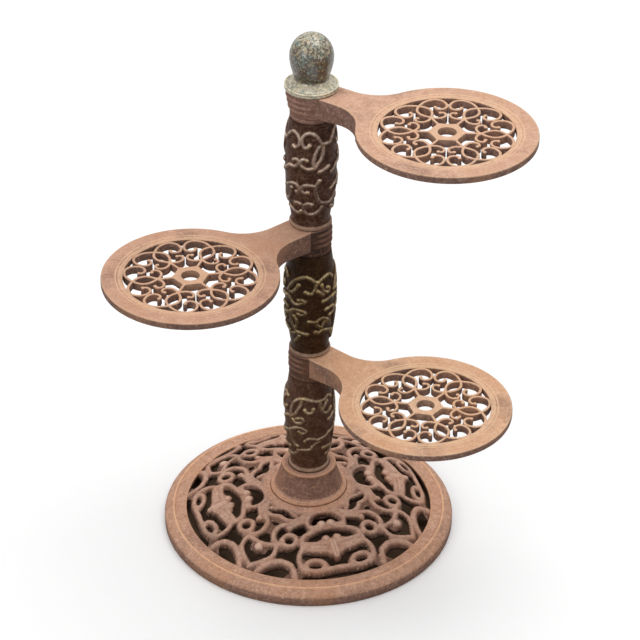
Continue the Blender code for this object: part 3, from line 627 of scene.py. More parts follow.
def rope_field(points, lines):
    """How deep each point lies inside a rope, and the height there: lift - sink (1 - sqrt(1 - (0.95 d/w)^2)),
    where a broad rope sinks no further than the web."""
    cover, crown = np.full(len(points), -99.0), np.full(len(points), -ROPE_SINK)
    for line, half, lift in lines:
        away = stroke_distance(points, line)
        cover = np.maximum(cover, half - away)
        arc = lift - min(half, ROPE_SINK) * (1.0 - np.sqrt(np.clip(1.0 - (0.95 * away / half) ** 2, 0.0, None)))
        crown = np.maximum(crown, np.where(away < half, arc, -ROPE_SINK))
    return cover, crown


print(len(strands()), "ropes, rings and knobs in half a unit")

# %% Base casting
HALF_ROWS, HALF_COLUMNS = 88, 90
ROPE_DEPTH, OPENING_EASE = 7.0, 1.2
CREASE_DEPTH, CREASE_WIDTH = 1.8, 0.9
PALMETTE_MIDDLE, PALMETTE_REACH = 0.61, 0.13
EDGE_TUCK = 1.4
WEB_LEVEL = -2.2


def half_unit():
    """The cut height field of half a unit as one shell: skin, underside and the walls of the openings. A
    crease, exp(-(y/width)^2), runs down the middle of the palmette."""
    angle, share = np.meshgrid(np.linspace(0.0, HALF_UNIT, HALF_COLUMNS), np.linspace(-0.04, 1.025, HALF_ROWS))
    points, loops, lines = plan(np.column_stack([angle.ravel(), share.ravel()])), outlines(), strands()

    def iron(places):
        return np.maximum(rope_field(places, lines)[0], iron_depth(places, loops) - OPENING_EASE)

    depth = iron(points)
    solid = np.pad((depth > 0.0).reshape(angle.shape), 1, mode="edge")
    windows = np.lib.stride_tricks.sliding_window_view(solid, (3, 3))
    brink = (depth > 0.0) & ~windows.all(axis=(2, 3)).ravel()
    step = 0.01
    slope = np.column_stack([iron(points[brink] + shift) for shift in ((step, 0.0), (0.0, step))])
    points[brink] -= depth[brink, None] * (slope - depth[brink, None]) / step
    radius = np.linalg.norm(points, axis=1)
    turn = np.arctan2(points[:, 1], points[:, 0]).reshape(angle.shape)
    turn[:, 0], turn[:, -1] = 0.0, np.radians(HALF_UNIT)
    points, share = polar(radius, turn.ravel()), share.ravel()
    crown = rope_field(points, lines)[1]
    crease = np.exp(-((points[:, 1] / CREASE_WIDTH) ** 2)) * (np.abs(share - PALMETTE_MIDDLE) < PALMETTE_REACH)
    crown -= CREASE_DEPTH * crease
    plain = np.clip((0.05 - share) / 0.06, 0.0, 1.0)
    crown = np.maximum(crown, -ROPE_SINK * (1.0 - plain))
    tuck = np.clip((share - 0.99) / 0.02, 0.0, 1.0) + np.clip((-0.01 - share) / 0.02, 0.0, 1.0)
    skin = on_dome(points, crown - EDGE_TUCK * tuck)
    under = on_dome(points, -ROPE_DEPTH)
    i, j = np.meshgrid(np.arange(HALF_ROWS - 1), np.arange(HALF_COLUMNS - 1), indexing="ij")
    corner = (i * HALF_COLUMNS + j).ravel()
    cells = np.column_stack([corner, corner + 1, corner + HALF_COLUMNS + 1, corner + HALF_COLUMNS])
    cells = cells[(depth[cells] > 0.0).all(axis=1)]
    sides = np.concatenate([cells[:, [k, (k + 1) % 4]] for k in range(4)])
    _, first, count = np.unique(np.sort(sides, axis=1), axis=0, return_index=True, return_counts=True)
    cut = sides[first[count == 1]]
    column = cut % HALF_COLUMNS
    cut = cut[~((column == 0).all(axis=1) | (column == HALF_COLUMNS - 1).all(axis=1))]
    total = len(points)
    walls = np.column_stack([cut[:, 1], cut[:, 0], cut[:, 0] + total, cut[:, 1] + total])
    # Rope crests are lightened, partly as wear and partly as painted highlight, and the sunk web below WEB_LEVEL is
    # marked for painted shade.
    rubbed_and_highlit = np.clip(1.0 + crown, 0.0, 1.0) * 0.3 + np.clip(crown, 0.0, 1.0) * 0.5
    wear_and_painted_light = np.where(crown < WEB_LEVEL, -1.0, rubbed_and_highlit)
    wear_and_painted_light = np.where((crease > 0.1) & (crease < 0.9), 0.7, wear_and_painted_light)
    faces = np.concatenate([cells, cells[:, ::-1] + total, walls])
    used, faces = np.unique(faces, return_inverse=True)
    # The whole underside is marked for painted shade.
    wear_and_painted_light = np.concatenate([wear_and_painted_light, np.full(total, -1.0)])
    return np.concatenate([skin, under])[used], faces.reshape(-1, 4), wear_and_painted_light[used]


def grille_shells():
    half = half_unit()
    turns = [GRILLE_TURN + TAU * i / GRILLE_UNITS for i in range(GRILLE_UNITS)]
    return [placed(half, turn, flip=side) for turn in turns for side in (False, True)]


piece("base_grille", grille_shells(), rusts["grille"], "post", "base_plate")

# %% [markdown]
# ## Column foot
# A flared foot stands in the base's collar: a rubbed ring with a fine line, a straight dark cone and a
# flat orange top ring, with the first barrel's bead sunk a little into it.

# %% Column foot
def foot_shell():
    outline = np.array([
        (BORE_RADIUS, 0.0), (39.0, 0.0), (39.4, 0.6), (39.4, 3.4), (39.0, 4.2), (38.5, 4.4), (38.2, 4.3),
        (37.8, 4.6),
        (37.2, 5.3), (36.5, 5.5), (35.9, 5.2), (35.6, 5.0), (34.6, 7.6), (32.6, 13.6), (30.4, 20.4), (28.6, 26.4),
        (27.9, 29.2), (28.0, 30.4), (27.8, 31.3), (27.2, 31.8), (26.4, 32.0), (22.0, 32.0), (21.4, 31.6),
        (21.4, 30.5), (BORE_RADIUS, 30.5),
    ])
    wear_and_painted_light = np.zeros(len(outline))
    wear_and_painted_light[[3, 4, 8, 9]] = 0.7, 0.9, 0.9, 0.8
    wear_and_painted_light[17:21] = 0.5, 0.9, 0.7, 0.3
    return revolve(outline, 128, wear_and_painted_light)


def lowest(name):
    """The height of a CAD node's foot, in millimetres."""
    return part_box(name)[0][2] / MM


foot = placed(foot_shell(), shift=(0.0, 0.0, lowest("column_foot")))
piece("column_foot_turned", [foot], rusts["foot"], "post", "column_foot")

# %% [markdown]
# ## Shelves: the plate with its neck
# Plate and neck are one casting with one flat top. Seen from the middle of the shelf, its edge is a
# single curve: round the plate, through two hollow fillets and along the neck into the hub. So the whole
# plate is a grid: round that edge one way, and the other way from the window over the line groove and
# the rounded edge, down the wall and back underneath, where the neck is deep and the plate thin.

# %% Shelf plate and neck
ARM_LENGTH = 150.0
SHELF_RADIUS = 84.8
NECK_HALF = 16.5
NECK_FILLET = 42.0
WINDOW = 64.0
PLATE_DEPTH = 7.3
NECK_START = 9.0
NECK_DEPTH, NECK_RISE, NECK_CEILING = 24.0, 5.5, 18.5


def edge_curve(count=480):
    """Half the edge as four runs, round end under the hub, straight neck, fillet arc and plate arc, mirrored
    and spaced evenly."""
    reach, offset = SHELF_RADIUS + NECK_FILLET, NECK_HALF + NECK_FILLET
    fillet_x = ARM_LENGTH - np.sqrt(reach**2 - offset**2)
    bend = np.arctan2(offset, ARM_LENGTH - fillet_x)
    t = np.linspace(np.pi, 0.5 * np.pi, 40, endpoint=False)
    end = polar(NECK_HALF, t) + (NECK_START, 0.0)
    straight = np.column_stack([np.linspace(NECK_START, fillet_x, 60, endpoint=False), np.full(60, NECK_HALF)])
    t = np.linspace(-0.5 * np.pi, -bend, 80, endpoint=False)
    hollow = polar(NECK_FILLET, t) + (fillet_x, offset)
    t = np.linspace(np.pi - bend, 0.0, 400)
    plate = polar(SHELF_RADIUS, t) + (ARM_LENGTH, 0.0)
    half = np.vstack([end, straight, hollow, plate])
    edge = np.vstack([half, half[-2::-1] * (1.0, -1.0)])
    length = np.concatenate([[0.0], np.cumsum(np.linalg.norm(np.diff(edge, axis=0), axis=1))])
    spaced = np.linspace(0.0, length[-1], count, endpoint=False)
    return np.column_stack([np.interp(spaced, length, edge[:, k]) for k in range(2)])


def plate_shell():
    """Rows follow the edge. Columns give, for each place, a radius about the window's middle or an inset
    from the edge, with a depth below the top."""
    edge = edge_curve()
    along = np.roll(edge, -1, axis=0) - np.roll(edge, 1, axis=0)
    outward = np.column_stack([along[:, 1], -along[:, 0]]) / np.linalg.norm(along, axis=1, keepdims=True)
    outward *= np.sign(np.sum(outward * (edge - (ARM_LENGTH, 0.0))))
    ray = edge - (ARM_LENGTH, 0.0)
    span = np.linalg.norm(ray, axis=1, keepdims=True)
    ray /= span
    bend = np.arcsin((NECK_HALF + NECK_FILLET) / (SHELF_RADIUS + NECK_FILLET))
    tangent_x = ARM_LENGTH - SHELF_RADIUS * np.cos(bend)
    is_neck = np.clip((tangent_x + 1.5 - edge[:, 0]) / 2.0, 0.0, 1.0)
    depth = PLATE_DEPTH + is_neck * (NECK_DEPTH - NECK_RISE * edge[:, 0] / tangent_x - PLATE_DEPTH)

    def at_radius(radius, z):
        level = ray * np.minimum(radius, span - 2.0) + (ARM_LENGTH, 0.0)
        return np.column_stack([level, np.broadcast_to(z, len(edge))])

    def at_inset(inset, z):
        return np.column_stack([edge - inset * outward, np.broadcast_to(z, len(edge))])

    columns = [at_radius(r, z) for r, z in (
        (WINDOW, -1.3), (64.12, -0.6), (64.5, -0.22), (65.2, -0.15), (68.4, -0.15), (68.9, -0.3), (69.5, -0.75),
        (70.1, -0.5), (70.5, -0.12), (71.0, 0.0), (72.2, 0.0),
    )]
    columns.append(0.5 * (columns[-1] + at_inset(2.4, 0.0)))
    columns += [at_inset(i, z) for i, z in ((2.4, 0.0), (1.2, -0.05), (0.5, -0.3), (0.12, -0.8), (0.0, -1.5))]
    columns += [at_inset(0.0, -depth + 1.4), at_inset(0.2, -depth + 0.6), at_inset(0.9, -depth), at_inset(2.0, -depth)]
    columns += [at_radius(86.0, -np.where(is_neck > 0.0, NECK_CEILING, PLATE_DEPTH)), at_radius(66.0, -PLATE_DEPTH)]
    columns += [at_radius(64.4, -PLATE_DEPTH), at_radius(WINDOW, -6.6)]
    wear_and_painted_light = np.zeros(len(columns))
    wear_and_painted_light[1:6] = 0.7, 0.8, 0.4, 0.7, 0.3
    wear_and_painted_light[8:10] = 1.0, 0.8
    wear_and_painted_light[13:16] = 0.25, 0.5, 0.3
    return shell(np.stack(columns, axis=1), True, True, wear_and_painted_light)


print("plate edge", len(edge_curve()), "stations")

# %% [markdown]
# ## Shelves: the scrollwork
# The window is filled with upright straps, each sector a pair of C-scrolls whose ends roll into hooks. A
# scroll is a smooth curve through a few guide places, and a tall thin section with a softened top is
# carried along it. Six sectors interlock round a ring with six ties.

# %% Shelf scrollwork
SHELF_SCROLL = [
    (0.192, 0.738), (0.172, 0.698), (0.117, 0.678), (0.050, 0.711), (0.022, 0.781), (0.039, 0.867), (0.094, 0.938),
    (0.180, 0.970), (0.273, 0.945), (0.352, 0.883), (0.406, 0.797), (0.444, 0.703), (0.452, 0.609), (0.420, 0.528),
    (0.352, 0.469), (0.266, 0.431), (0.172, 0.409), (0.094, 0.424), (0.041, 0.472), (0.030, 0.531), (0.062, 0.578),
    (0.112, 0.572),
]
SHELF_SECTORS = 6
STRAP_TOP = -0.8
STRAP_BOTTOM = -8.8
STRAP_WIDTH = 2.7
DRUM_RADIUS = 1.9
TIE_START = 13.0
RING_HOLE, RING_WIDTH, RING_SWELL = 8.9, 6.5, 2.4


def strap_section(left, right, corner_radii):
    """An upright box from left to right with rounded corners, the two lower ones first."""
    corners = [(left, STRAP_BOTTOM), (right, STRAP_BOTTOM), (right, STRAP_TOP), (left, STRAP_TOP)]
    return rounded(corners, corner_radii, 3)


def strap_wear(section):
    """Half rubbed at the top, and less down to a millimetre below it."""
    return np.clip(1.0 - (STRAP_TOP - section[:, 1]), 0.0, 1.0) * 0.5


def scroll_shells():
    """Both scrolls of each sector, each with a drum at its ends, and the ties from the ring. Their tops lie
    a few hundredths apart, because two faces in one plane would shade each other black."""
    section = strap_section(-0.5 * STRAP_WIDTH, 0.5 * STRAP_WIDTH, [0.6, 0.6, 1.0, 1.0])
    wear_and_painted_light = strap_wear(section)
    path = spline(np.array(SHELF_SCROLL)[:, ::-1] * WINDOW, 9)
    half = [carry(path, section, wear_and_painted_light)]
    drum = strap_section(0.0, DRUM_RADIUS, [0.0, 0.4, 0.9, 0.0])
    half += [placed(revolve(drum, 20, strap_wear(drum)), 0.0, (*end, 0.05)) for end in path[[0, -1]]]
    tie = carry(np.column_stack([np.linspace(TIE_START, 0.5 * WINDOW, 12), np.zeros(12)]), section, wear_and_painted_light)
    shells = []
    for i in range(SHELF_SECTORS):
        turn = TAU * i / SHELF_SECTORS
        shells += [placed(part, turn, (0.0, 0.0, -0.08 * side), side) for part in half for side in (False, True)]
        shells.append(placed(tie, turn + 0.5 * TAU / SHELF_SECTORS, (0.0, 0.0, -0.14)))
    return shells


def ring_shell():
    """The middle ring: a round hole, and an outer edge that swells a little towards each tie."""
    turn = np.linspace(0.0, TAU, 144, endpoint=False)[:, None]
    point = (0.5 - 0.5 * np.cos(SHELF_SECTORS * turn)) ** 3
    outline = strap_section(0.0, 1.0, [0.1, 0.1, 0.12, 0.12])
    radius = RING_HOLE + outline[:, 0] * (RING_WIDTH + RING_SWELL * point)
    return shell(around(radius, turn, outline[:, 1]), True, True, strap_wear(outline))


print(3 * SHELF_SECTORS, "straps in a shelf")

# %% [markdown]
# ## Shelves: the hub
# The hub is a drum bored for the rod, with a narrower lip below and three soft ridges, which fade out
# towards the neck. The upper hub widens to meet the finial. Then plate, scrolls and hub are put on their
# arms, each turned as the photograph shows it, and ride on their own bodies.

# %% Hubs and arms
HUB_RADIUS = 21.4
HUB_HEIGHT = 30.0
HUB_SIDE = 24.5
RIDGES, RIDGES_FROM, RIDGES_SPAN, RIDGE_DEPTH = 3, 3.0, 18.0, 1.1
SMOOTH_TO, FADE_SPAN = 50.0, 30.0
ARMS = {"lower": (-40.9, 21.4), "middle": (221.1, 21.4), "upper": (-33.6, 25.4)}


def hub_shell(top_radius):
    """A drum whose radius goes from top_radius to HUB_RADIUS, with ridges: a raised cosine per ridge, which
    fades out between 80 and 50 degrees from the neck, where the hub runs smoothly into it."""
    z = np.linspace(-0.9, -24.2, 60)
    side = top_radius + (HUB_RADIUS - top_radius) * z / -HUB_SIDE + 0.2
    phase = np.clip((-z - RIDGES_FROM) / RIDGES_SPAN, 0.0, 1.0) * RIDGES
    top = [(BORE_RADIUS, -0.12), (top_radius - 1.2, -0.12), (top_radius - 0.4, -0.3)]
    lip = [(HUB_RADIUS - inset, low) for inset, low in ((1.4, -24.7), (0.6, -25.6), (0.8, -28.4), (1.6, -29.7))]
    outline = np.vstack([top, np.column_stack([side, z]), lip, (BORE_RADIUS, -HUB_HEIGHT)])
    wear_and_painted_light, groove = np.zeros(len(outline)), np.zeros(len(outline))
    # The lip under the drum is marked for painted shade.
    wear_and_painted_light[-5:-1] = -0.7, 0.2, -0.3, -0.9
    groove[3:-5] = 0.5 + 0.5 * np.cos(TAU * phase)
    turn = np.linspace(0.0, TAU, 96, endpoint=False)[:, None]
    fade = np.clip((np.degrees(np.minimum(turn, TAU - turn)) - SMOOTH_TO) / FADE_SPAN, 0.0, 1.0)
    points = around(outline[:, 0] - RIDGE_DEPTH * groove * fade, turn, outline[:, 1])
    # The ridges' grooves are marked for painted shade, and their crests lightened, partly as wear and partly as
    # painted highlight.
    return shell(points, True, True, wear_and_painted_light + fade * np.where(groove > 0.0, 0.45 - 1.1 * groove, 0.0))


for tier, (degrees, top_radius) in ARMS.items():
    turn = np.radians(degrees)
    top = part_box(tier + "_arm")[1][2] / MM
    middle = (ARM_LENGTH * np.cos(turn), ARM_LENGTH * np.sin(turn), top)
    plate = placed(plate_shell(), turn, (0.0, 0.0, top))
    scrolls = [placed(part, turn, middle) for part in [*scroll_shells(), ring_shell()]]
    hub = placed(hub_shell(top_radius), turn, (0.0, 0.0, top))
    forms = (("_shelf_plate", [plate], "_shelf"), ("_shelf_scrolls", scrolls, "_shelf"), ("_hub", [hub], "_hub"))
    for form, shells, rust in forms:
        piece(tier + form, shells, rusts[tier + rust], tier + "_shelf", tier + "_arm")

# %% [markdown]
# ## Barrels
# Each barrel swells from a bead and a hollow at its foot and is carved all round with two bands of running
# scrolls and leaves. A boolean or a Displace texture would be heavy or blurred. The scrolls are drawn as
# strokes on the unrolled barrel instead, as degrees round it and millimetres up it, three times round. For
# each place on the barrel, the distance to the nearest stroke says how far a rounded strap stands out.

# %% Carved barrel iron
def gilt_iron(name, ground, ground_pale, gilt, glint):
    """Dark oxide with rubbed gilding: the number of wear and painted light says where the carving stands proud,
    which the finish gilds and lights on its upper side with a painted highlight; above one it says where the
    tip of a scroll keeps its gold, and below zero where the bead gets a pale band of painted reflection."""
    finish, tree = new_finish(name)
    # Mottling of 6 mm breaks the gilding up, and grain of 2 mm speckles the ground.
    mottle, grain = noise(tree, 6, 5.0, 0.7), noise(tree, 2, 3.0)
    mottled, grainy = remap(tree, mottle, 0.4, 0.66), remap(tree, grain, 0.35, 0.68)
    wear_and_painted_light = read_wear_and_light(tree)
    tone = blend(tree, maths(tree, "MULTIPLY", mottled, grainy), ground, ground_pale)
    # The gilding shows on the upper side of a strap as a painted highlight, and is yellowest at its ends.
    upper = remap(tree, facing_up(tree), -0.1, 0.6, 0.12)
    rubbed_and_highlit = maths(tree, "MULTIPLY", remap(tree, mottle, 0.38, 0.58, 0.45), upper)
    rubbed_and_highlit = maths(tree, "MULTIPLY", wear_and_painted_light, rubbed_and_highlit, use_clamp=True)
    metal = blend(tree, grainy, gilt, glint)
    metal = blend(tree, remap(tree, wear_and_painted_light, 1.0, 1.3, 0.0, 0.4), metal, "#c99f45")
    tone = blend(tree, rubbed_and_highlit, tone, metal)
    # The bead, where the number is below zero, gets a pale band: a painted reflection of the sky.
    bloom_and_sheen = remap(tree, wear_and_painted_light, 0.0, -1.0)
    bloom_and_sheen = maths(tree, "MULTIPLY", bloom_and_sheen, remap(tree, mottle, 0.35, 0.6, 0.5), use_clamp=True)
    tone = blend(tree, bloom_and_sheen, tone, "#b5957e")
    shine, skin = remap(tree, rubbed_and_highlit, 0.0, 1.0, 0.0, 0.55), remap(tree, grain, 0.0, 1.0, 0.34, 0.62)
    dress(tree, tone, skin, grainy, 0.35, 0.4, shine, 0.06)
    return finish


# Ground, pale ground, gilding and glint of each barrel; the glint is a painted highlight.
GILT_TONES = {
    "lower": ("#523526", "#856555", "#b3936e", "#eddcbd"),
    "middle": ("#321e0e", "#61462f", "#b8945a", "#f5e5c0"),
    "upper": ("#452c21", "#8c6d5c", "#e6bfa6", "#fff0de"),
}
barrel_irons = {tier: gilt_iron(tier + "_barrel_gilt_cast_iron", *tones) for tier, tones in GILT_TONES.items()}
print(len(barrel_irons), "barrel finishes")

# %% Barrel strokes
BARREL_STROKES = {
    "upper": [
        [(-160, 99), (-152, 103.5), (-144, 107), (-135, 109), (-127, 108), (-120, 104.5), (-117, 100), (-119, 96),
         (-126, 93.5), (-133, 94)],
        [(-93, 97.5), (-98, 95.5), (-104, 95), (-109, 97.5), (-111, 101.5), (-109, 105.5), (-103, 108.5), (-95, 110),
         (-86, 109.5), (-78, 107), (-71, 103), (-65, 98)],
        [(-82, 73.5), (-84, 79), (-82, 85), (-77, 91), (-70, 95.5), (-62, 97), (-54, 98), (-46, 98), (-40, 99)],
        [(-79, 75), (-72, 80), (-66, 84), (-63, 89), (-62, 95)],
        [(-83, 74), (-90, 73), (-97, 72.5), (-105, 73.5), (-111, 75.5), (-113, 78.5), (-110, 81.5), (-104, 82.5),
         (-99, 81.5)],
        [(-160, 66), (-152, 68.5), (-145, 71.5), (-137, 73), (-128, 73), (-121, 75), (-118, 78), (-121, 81),
         (-126, 81), (-130, 79.5)],
        [(-71, 69), (-64, 70.5), (-56, 72), (-50, 73)],
        [(-160, 47), (-152, 49), (-145, 51), (-137, 53), (-128, 54), (-121, 53), (-117, 50), (-118, 46.5),
         (-124, 45)],
        [(-97, 46), (-102, 45), (-108, 46), (-112, 49), (-109, 52), (-103, 54), (-95, 54.5), (-87, 54), (-80, 53.5),
         (-76, 56), (-71, 59)],
        [(-80, 53), (-80, 48), (-77, 42), (-72, 37), (-65, 33.5), (-55, 32), (-45, 31), (-38, 31.5), (-28, 35),
         (-21, 41), (-18, 48)],
        [(-153, 25), (-145, 23), (-137, 21.5), (-128, 20.5), (-120, 21), (-114, 23)],
        [(-129, 31.5), (-122, 32.5), (-115, 31.5)],
        [(-88, 32), (-95, 33), (-102, 32), (-107, 29), (-107, 24.5), (-100, 21), (-91, 20), (-82, 20.5), (-73, 22.5),
         (-66, 25.5), (-62, 28)],
    ],
    "middle": [
        [(-146, 78), (-141, 83), (-134, 88), (-126, 92), (-117, 95), (-108, 97), (-100, 98), (-92, 97), (-84, 94.5),
         (-76, 92), (-68, 92)],
        [(-70, 91.5), (-62, 94.5), (-54, 96.5), (-46, 97.5), (-38, 96.5), (-31, 93)],
        [(-139, 77), (-130, 79), (-123, 83), (-117, 88)],
        [(-150, 71), (-143, 72), (-135, 68), (-126, 65.5), (-116, 66), (-107, 68), (-101, 70), (-108, 71.5),
         (-116, 70.5)],
        [(-100, 81), (-92, 79.5), (-85, 80), (-79, 84), (-76, 90)],
        [(-47, 83.5), (-43, 81.5), (-47, 78.5), (-54, 79.5), (-60, 82.5), (-63, 88)],
        [(-60, 69), (-52, 69.5), (-44, 70.5), (-36, 71), (-28, 71)],
        [(-74, 82), (-67, 80), (-60, 77)],
        [(-52, 58.5), (-44, 59), (-36, 59.5), (-28, 58)],
        [(-160, 50), (-150, 51), (-142, 53), (-134, 56.5), (-126, 58.5), (-117, 59), (-108, 58.5), (-101, 57),
         (-103, 54.5), (-110, 53.5), (-118, 54)],
        [(-136, 55), (-138, 46), (-135, 39), (-129, 34), (-120, 31)],
        [(-128, 50), (-122, 46), (-121, 41), (-126, 36)],
        [(-92, 46), (-86, 46), (-80, 45), (-74, 45.5), (-68, 48), (-60, 49), (-52, 47.5), (-45, 45), (-41, 42)],
        [(-74, 42), (-67, 39), (-60, 38.5), (-57, 42), (-53, 45), (-47, 43)],
        [(-76, 33), (-68, 31.5), (-60, 33.5), (-52, 33), (-44, 32), (-36, 31), (-28, 29)],
        [(-148, 26), (-140, 27), (-130, 29), (-120, 31.5), (-108, 30.5), (-96, 30)],
        [(-132, 18), (-125, 21.5), (-118, 26)],
    ],
    "lower": [
        [(-136, 69.5), (-136, 77), (-132, 84), (-126, 89.5), (-118, 93), (-109, 94.5), (-100, 95), (-91, 94),
         (-82, 93), (-73, 92), (-64, 91.5), (-55, 92), (-46, 93.5), (-39, 94.5), (-31, 92)],
        [(-132, 72), (-124, 75), (-118, 79.5), (-113, 84), (-109, 89), (-108, 94)],
        [(-100, 82), (-95, 79), (-88, 78.5), (-82, 80), (-80, 83)],
        [(-129, 67.5), (-121, 65), (-113, 65), (-106, 66.5), (-103, 69.5), (-107, 71.5), (-114, 71), (-120, 69.5)],
        [(-64, 91), (-62, 86), (-60, 81), (-55, 77), (-48, 75.5), (-40, 76), (-33, 79)],
        [(-55, 82), (-50, 86), (-45, 89)],
        [(-160, 66), (-152, 68), (-145, 70)],
        [(-160, 49), (-150, 50.5), (-142, 52), (-134, 54.5), (-127, 57), (-119, 59), (-111, 59.5), (-104, 58.8),
         (-97, 56.5), (-99, 53.5), (-106, 52.5), (-113, 54)],
        [(-134, 54), (-136, 47), (-134, 41), (-128, 36), (-120, 34.5)],
        [(-99, 42.5), (-93, 45.5), (-86, 46.5), (-78, 45.5), (-70, 44), (-62, 45), (-54, 45.5), (-47, 46.5),
         (-40, 49)],
        [(-119, 28.5), (-110, 30), (-102, 30.5), (-94, 31), (-87, 32), (-82, 34.5)],
        [(-82, 35), (-74, 39), (-66, 41)],
        [(-160, 30), (-152, 30.5), (-145, 30)],
        [(-158, 20), (-150, 21), (-140, 20.5), (-130, 22.5), (-122, 25.5)],
        [(-52, 31), (-44, 31), (-36, 30)],
    ],
}
print({tier: len(strokes) for tier, strokes in BARREL_STROKES.items()}, "strokes in a sector")

# %% Carved barrels
BARREL_SECTORS = 3
SECTOR_START = -160.0
BARREL_MEAN = 25.0
STRAP_HALF = 2.5
STRAP_PROUD = 2.0
BULB = 1.15
BARREL_COLUMNS, BARREL_ROWS = 120, 240
WAIST_HEIGHT, WAIST_RADIUS, WAIST_SWELL = 8.2, 18.9, 6.1
TOP_RADIUS, TOP_SWELL = 20.9, 4.1
BELLY_SHARE = 0.56
HOLLOW_RADIUS, BEAD_RADIUS = 18.4, 2.5


def barrel_radius(z, length):
    """Waist to belly to top: a cosine swell on each side of the widest place, over a bead and a hollow."""
    widest = WAIST_HEIGHT + BELLY_SHARE * (length - WAIST_HEIGHT)
    fall = np.clip((z - widest) / (widest - WAIST_HEIGHT), -1.0, 0.0)
    rise = np.clip((z - widest) / (length - widest), 0.0, 1.0)
    below = WAIST_RADIUS + WAIST_SWELL * np.cos(0.5 * np.pi * fall)
    above = TOP_RADIUS + TOP_SWELL * np.cos(0.5 * np.pi * rise)
    bead = HOLLOW_RADIUS + np.sqrt(np.clip(BEAD_RADIUS**2 - (z - BEAD_RADIUS) ** 2, 0.0, None))
    return np.maximum(np.where(z < 2 * BEAD_RADIUS, bead, np.where(z < widest, below, above)), HOLLOW_RADIUS)


def relief(strokes, turn, z):
    """How near each place of one sector, rows by z, is to a stroke, 1 on its line and 0 from its edge on, and
    to a stroke's end likewise. A stroke ends in a bulb, so its ends reach BULB times as far, and it may run
    on into the next sector."""
    grid_x, grid_z = np.meshgrid(turn * BARREL_MEAN, z)
    points = np.column_stack([grid_x.ravel(), grid_z.ravel()])
    first, last = points[:, 0].min() - 4.0, points[:, 0].max() + 4.0
    pitch = TAU / BARREL_SECTORS * BARREL_MEAN
    near, tips = np.full(len(points), 99.0), np.full(len(points), 99.0)
    for guides in strokes:
        stroke = spline(np.array(guides) * (np.radians(1.0) * BARREL_MEAN, 1.0), 5)
        for shift in (0.0, -pitch, pitch):
            line = stroke + (shift, 0.0)
            if line[:, 0].max() > first and line[:, 0].min() < last:
                bulbs = np.linalg.norm(points[:, None] - line[[0, -1]], axis=2).min(axis=1) / BULB
                near = np.minimum(near, np.minimum(stroke_distance(points, line), bulbs))
                tips = np.minimum(tips, bulbs)
    return [np.clip(1.0 - away / STRAP_HALF, 0.0, 1.0).reshape(grid_x.shape) for away in (near, tips)]


def barrel_shell(strokes, length):
    """Columns go round three sectors and rows go up. A strap stands proud with a round back, sqrt(1 - d^2), and
    is rubbed along it; the finish shows that rubbing partly as a painted highlight on its upper side."""
    z = np.linspace(0.0, length, BARREL_ROWS)
    turn = np.radians(SECTOR_START) + np.linspace(0.0, TAU, BARREL_SECTORS * BARREL_COLUMNS, endpoint=False)
    near, tips = [np.tile(field, BARREL_SECTORS) for field in relief(strokes, turn[:BARREL_COLUMNS], z)]
    radius = barrel_radius(z, length)[:, None] + STRAP_PROUD * np.sqrt(1.0 - (1.0 - near) ** 2)
    wear_and_painted_light = np.clip((near - 0.05) / 0.4, 0.0, 1.0) + 0.3 * np.clip(tips / 0.4, 0.0, 1.0)
    # The bead is marked for its painted reflection.
    wear_and_painted_light[(z > 0.9) & (z < 4.7)] = -1.0
    return shell(capped(around(radius, turn, z[:, None])), False, True, np.pad(wear_and_painted_light, ((1, 1), (0, 0))))


for tier, strokes in BARREL_STROKES.items():
    low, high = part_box(tier + "_barrel")
    carved = placed(barrel_shell(strokes, (high[2] - low[2]) / MM), shift=(0.0, 0.0, low[2] / MM))
    piece(tier + "_barrel_carved", [carved], barrel_irons[tier], "post", tier + "_barrel")

# %% [markdown]
# ## Finial
# The ball is a pear shape on a saucer with a raised edge. Its old copper-green wash has worn to cream,
# grey-green and brown specks, with some polish left, so it alone on the stand has a clear highlight.

# %% Finial finish and form
FINIAL_HEIGHT = 56.2
BALL_RADIUS = 21.2
CROWN_RISE = 23.004
PEAR_NECK, PEAR_FOOT = 16.8, 12.2


def verdigris(name):
    """Cream, blue-green, gold and brown specks at two scales, paler on top and darker below as painted light and
    shade.
    """
    finish, tree = new_finish(name)
    # Drifts of 6 mm, specks of 3.4 mm and grain of 2.2 mm.
    drift, speck, grain = noise(tree, 6, 3.0), noise(tree, 3.4, 4.0, 0.7), noise(tree, 2.2, 2.0)
    tone = blend(tree, remap(tree, drift, 0.42, 0.6), "#a38d66", "#738d80")
    # Painted light and shade: faces that look up turn more of the noise cream and less of it brown.
    sky = remap(tree, facing_up(tree), -0.1, 0.9, 0.62, 0.47)
    cream = remap(tree, maths(tree, "SUBTRACT", speck, sky), -0.04, 0.12)
    tone = blend(tree, cream, tone, "#d6cbb0")
    brown = remap(tree, maths(tree, "SUBTRACT", grain, sky), 0.05, -0.12)
    tone = blend(tree, brown, tone, "#3d2d18")
    edge = maths(tree, "MULTIPLY", read_wear_and_light(tree), remap(tree, speck, 0.38, 0.55, 0.3))
    tone = blend(tree, edge, tone, "#efe2c2")
    dress(tree, tone, remap(tree, speck, 0.3, 0.7, 0.36, 0.2), speck, 0.3, 0.4, specular=1.0)
    return finish


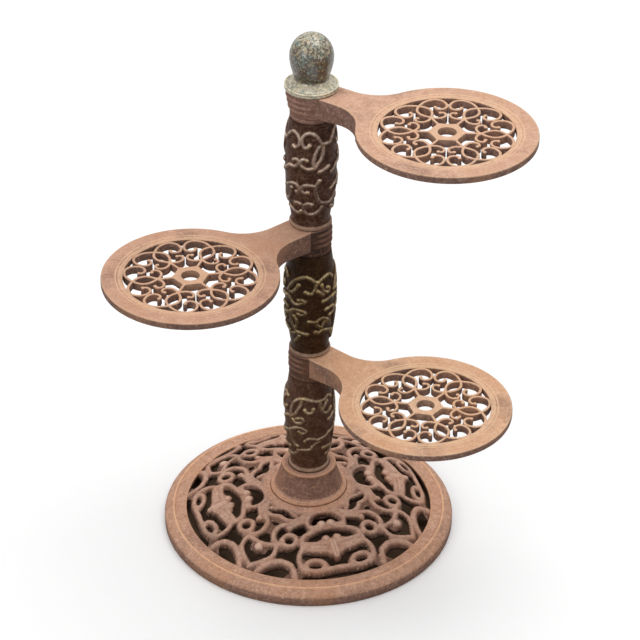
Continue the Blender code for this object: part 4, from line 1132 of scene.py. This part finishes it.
def finial_shell():
    """A saucer drawn by points, then the pear: a sine from the neck to the belly and half an ellipse above."""
    saucer = np.array([
        (0.0, 0.0), (25.2, 0.0), (25.9, 0.5), (26.1, 1.4), (25.9, 2.3), (25.6, 2.7), (25.9, 3.1), (26.1, 3.8),
        (25.8, 4.5), (25.2, 4.8), (24.5, 4.6), (24.0, 4.1), (23.4, 4.1), (22.6, 4.6), (20.6, 6.3), (18.8, 8.4),
        (17.5, 10.2), (16.9, 11.4), (PEAR_NECK, PEAR_FOOT),
    ])
    belly, swell = FINIAL_HEIGHT - CROWN_RISE, BALL_RADIUS - PEAR_NECK
    rise = np.linspace(0.04, 1.0, 18)
    pear = np.column_stack([PEAR_NECK + swell * np.sin(0.5 * np.pi * rise), PEAR_FOOT + (belly - PEAR_FOOT) * rise])
    t = np.linspace(0.0, 0.5 * np.pi, 26)[1:]
    crown = np.column_stack([BALL_RADIUS * np.cos(t), belly + CROWN_RISE * np.sin(t)])
    crown[-1, 0] = 0.0
    outline = np.vstack([saucer, pear, crown])
    wear_and_painted_light = np.zeros(len(outline))
    wear_and_painted_light[2:17] = 0.4, 0.8, 0.7, 0.2, 0.7, 1.0, 1.2, 1.2, 0.8, 0.1, 0.1, 0.4, 0.5, 0.5, 0.5
    return revolve(outline, 128, wear_and_painted_light)


finial = placed(finial_shell(), shift=(0.0, 0.0, lowest("finial")))
piece("finial_turned", [finial], verdigris("finial_worn_verdigris"), "post", "finial")

# %% [markdown]
# ## The look of the fixings
# The rod, the nut and the washer are plain steel and sit under the base. Their solids are right as they
# are, so they stay and only take a finish: dull rolled steel with a breath of rust.

# %% Fixings
def dull_steel(name):
    """Rolled steel: grey, half rough, with brown bloom in patches of 9 mm."""
    finish, tree = new_finish(name)
    bloom_and_sheen = noise(tree, 9, 4.0)
    brown = remap(tree, bloom_and_sheen, 0.45, 0.65)
    tone = blend(tree, brown, "#8b8580", "#7a5a48")
    bare, skin = remap(tree, brown, 0.0, 1.0, 0.9, 0.1), remap(tree, brown, 0.0, 1.0, 0.4, 0.85)
    dress(tree, tone, skin, bloom_and_sheen, 0.2, 0.2, bare)
    return finish


steel = dull_steel("dull_rolled_steel")
for name in ("tie_rod", "base_washer", "base_nut"):
    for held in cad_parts[name].material_slots:
        held.material = steel
print("fixings in", steel.name)
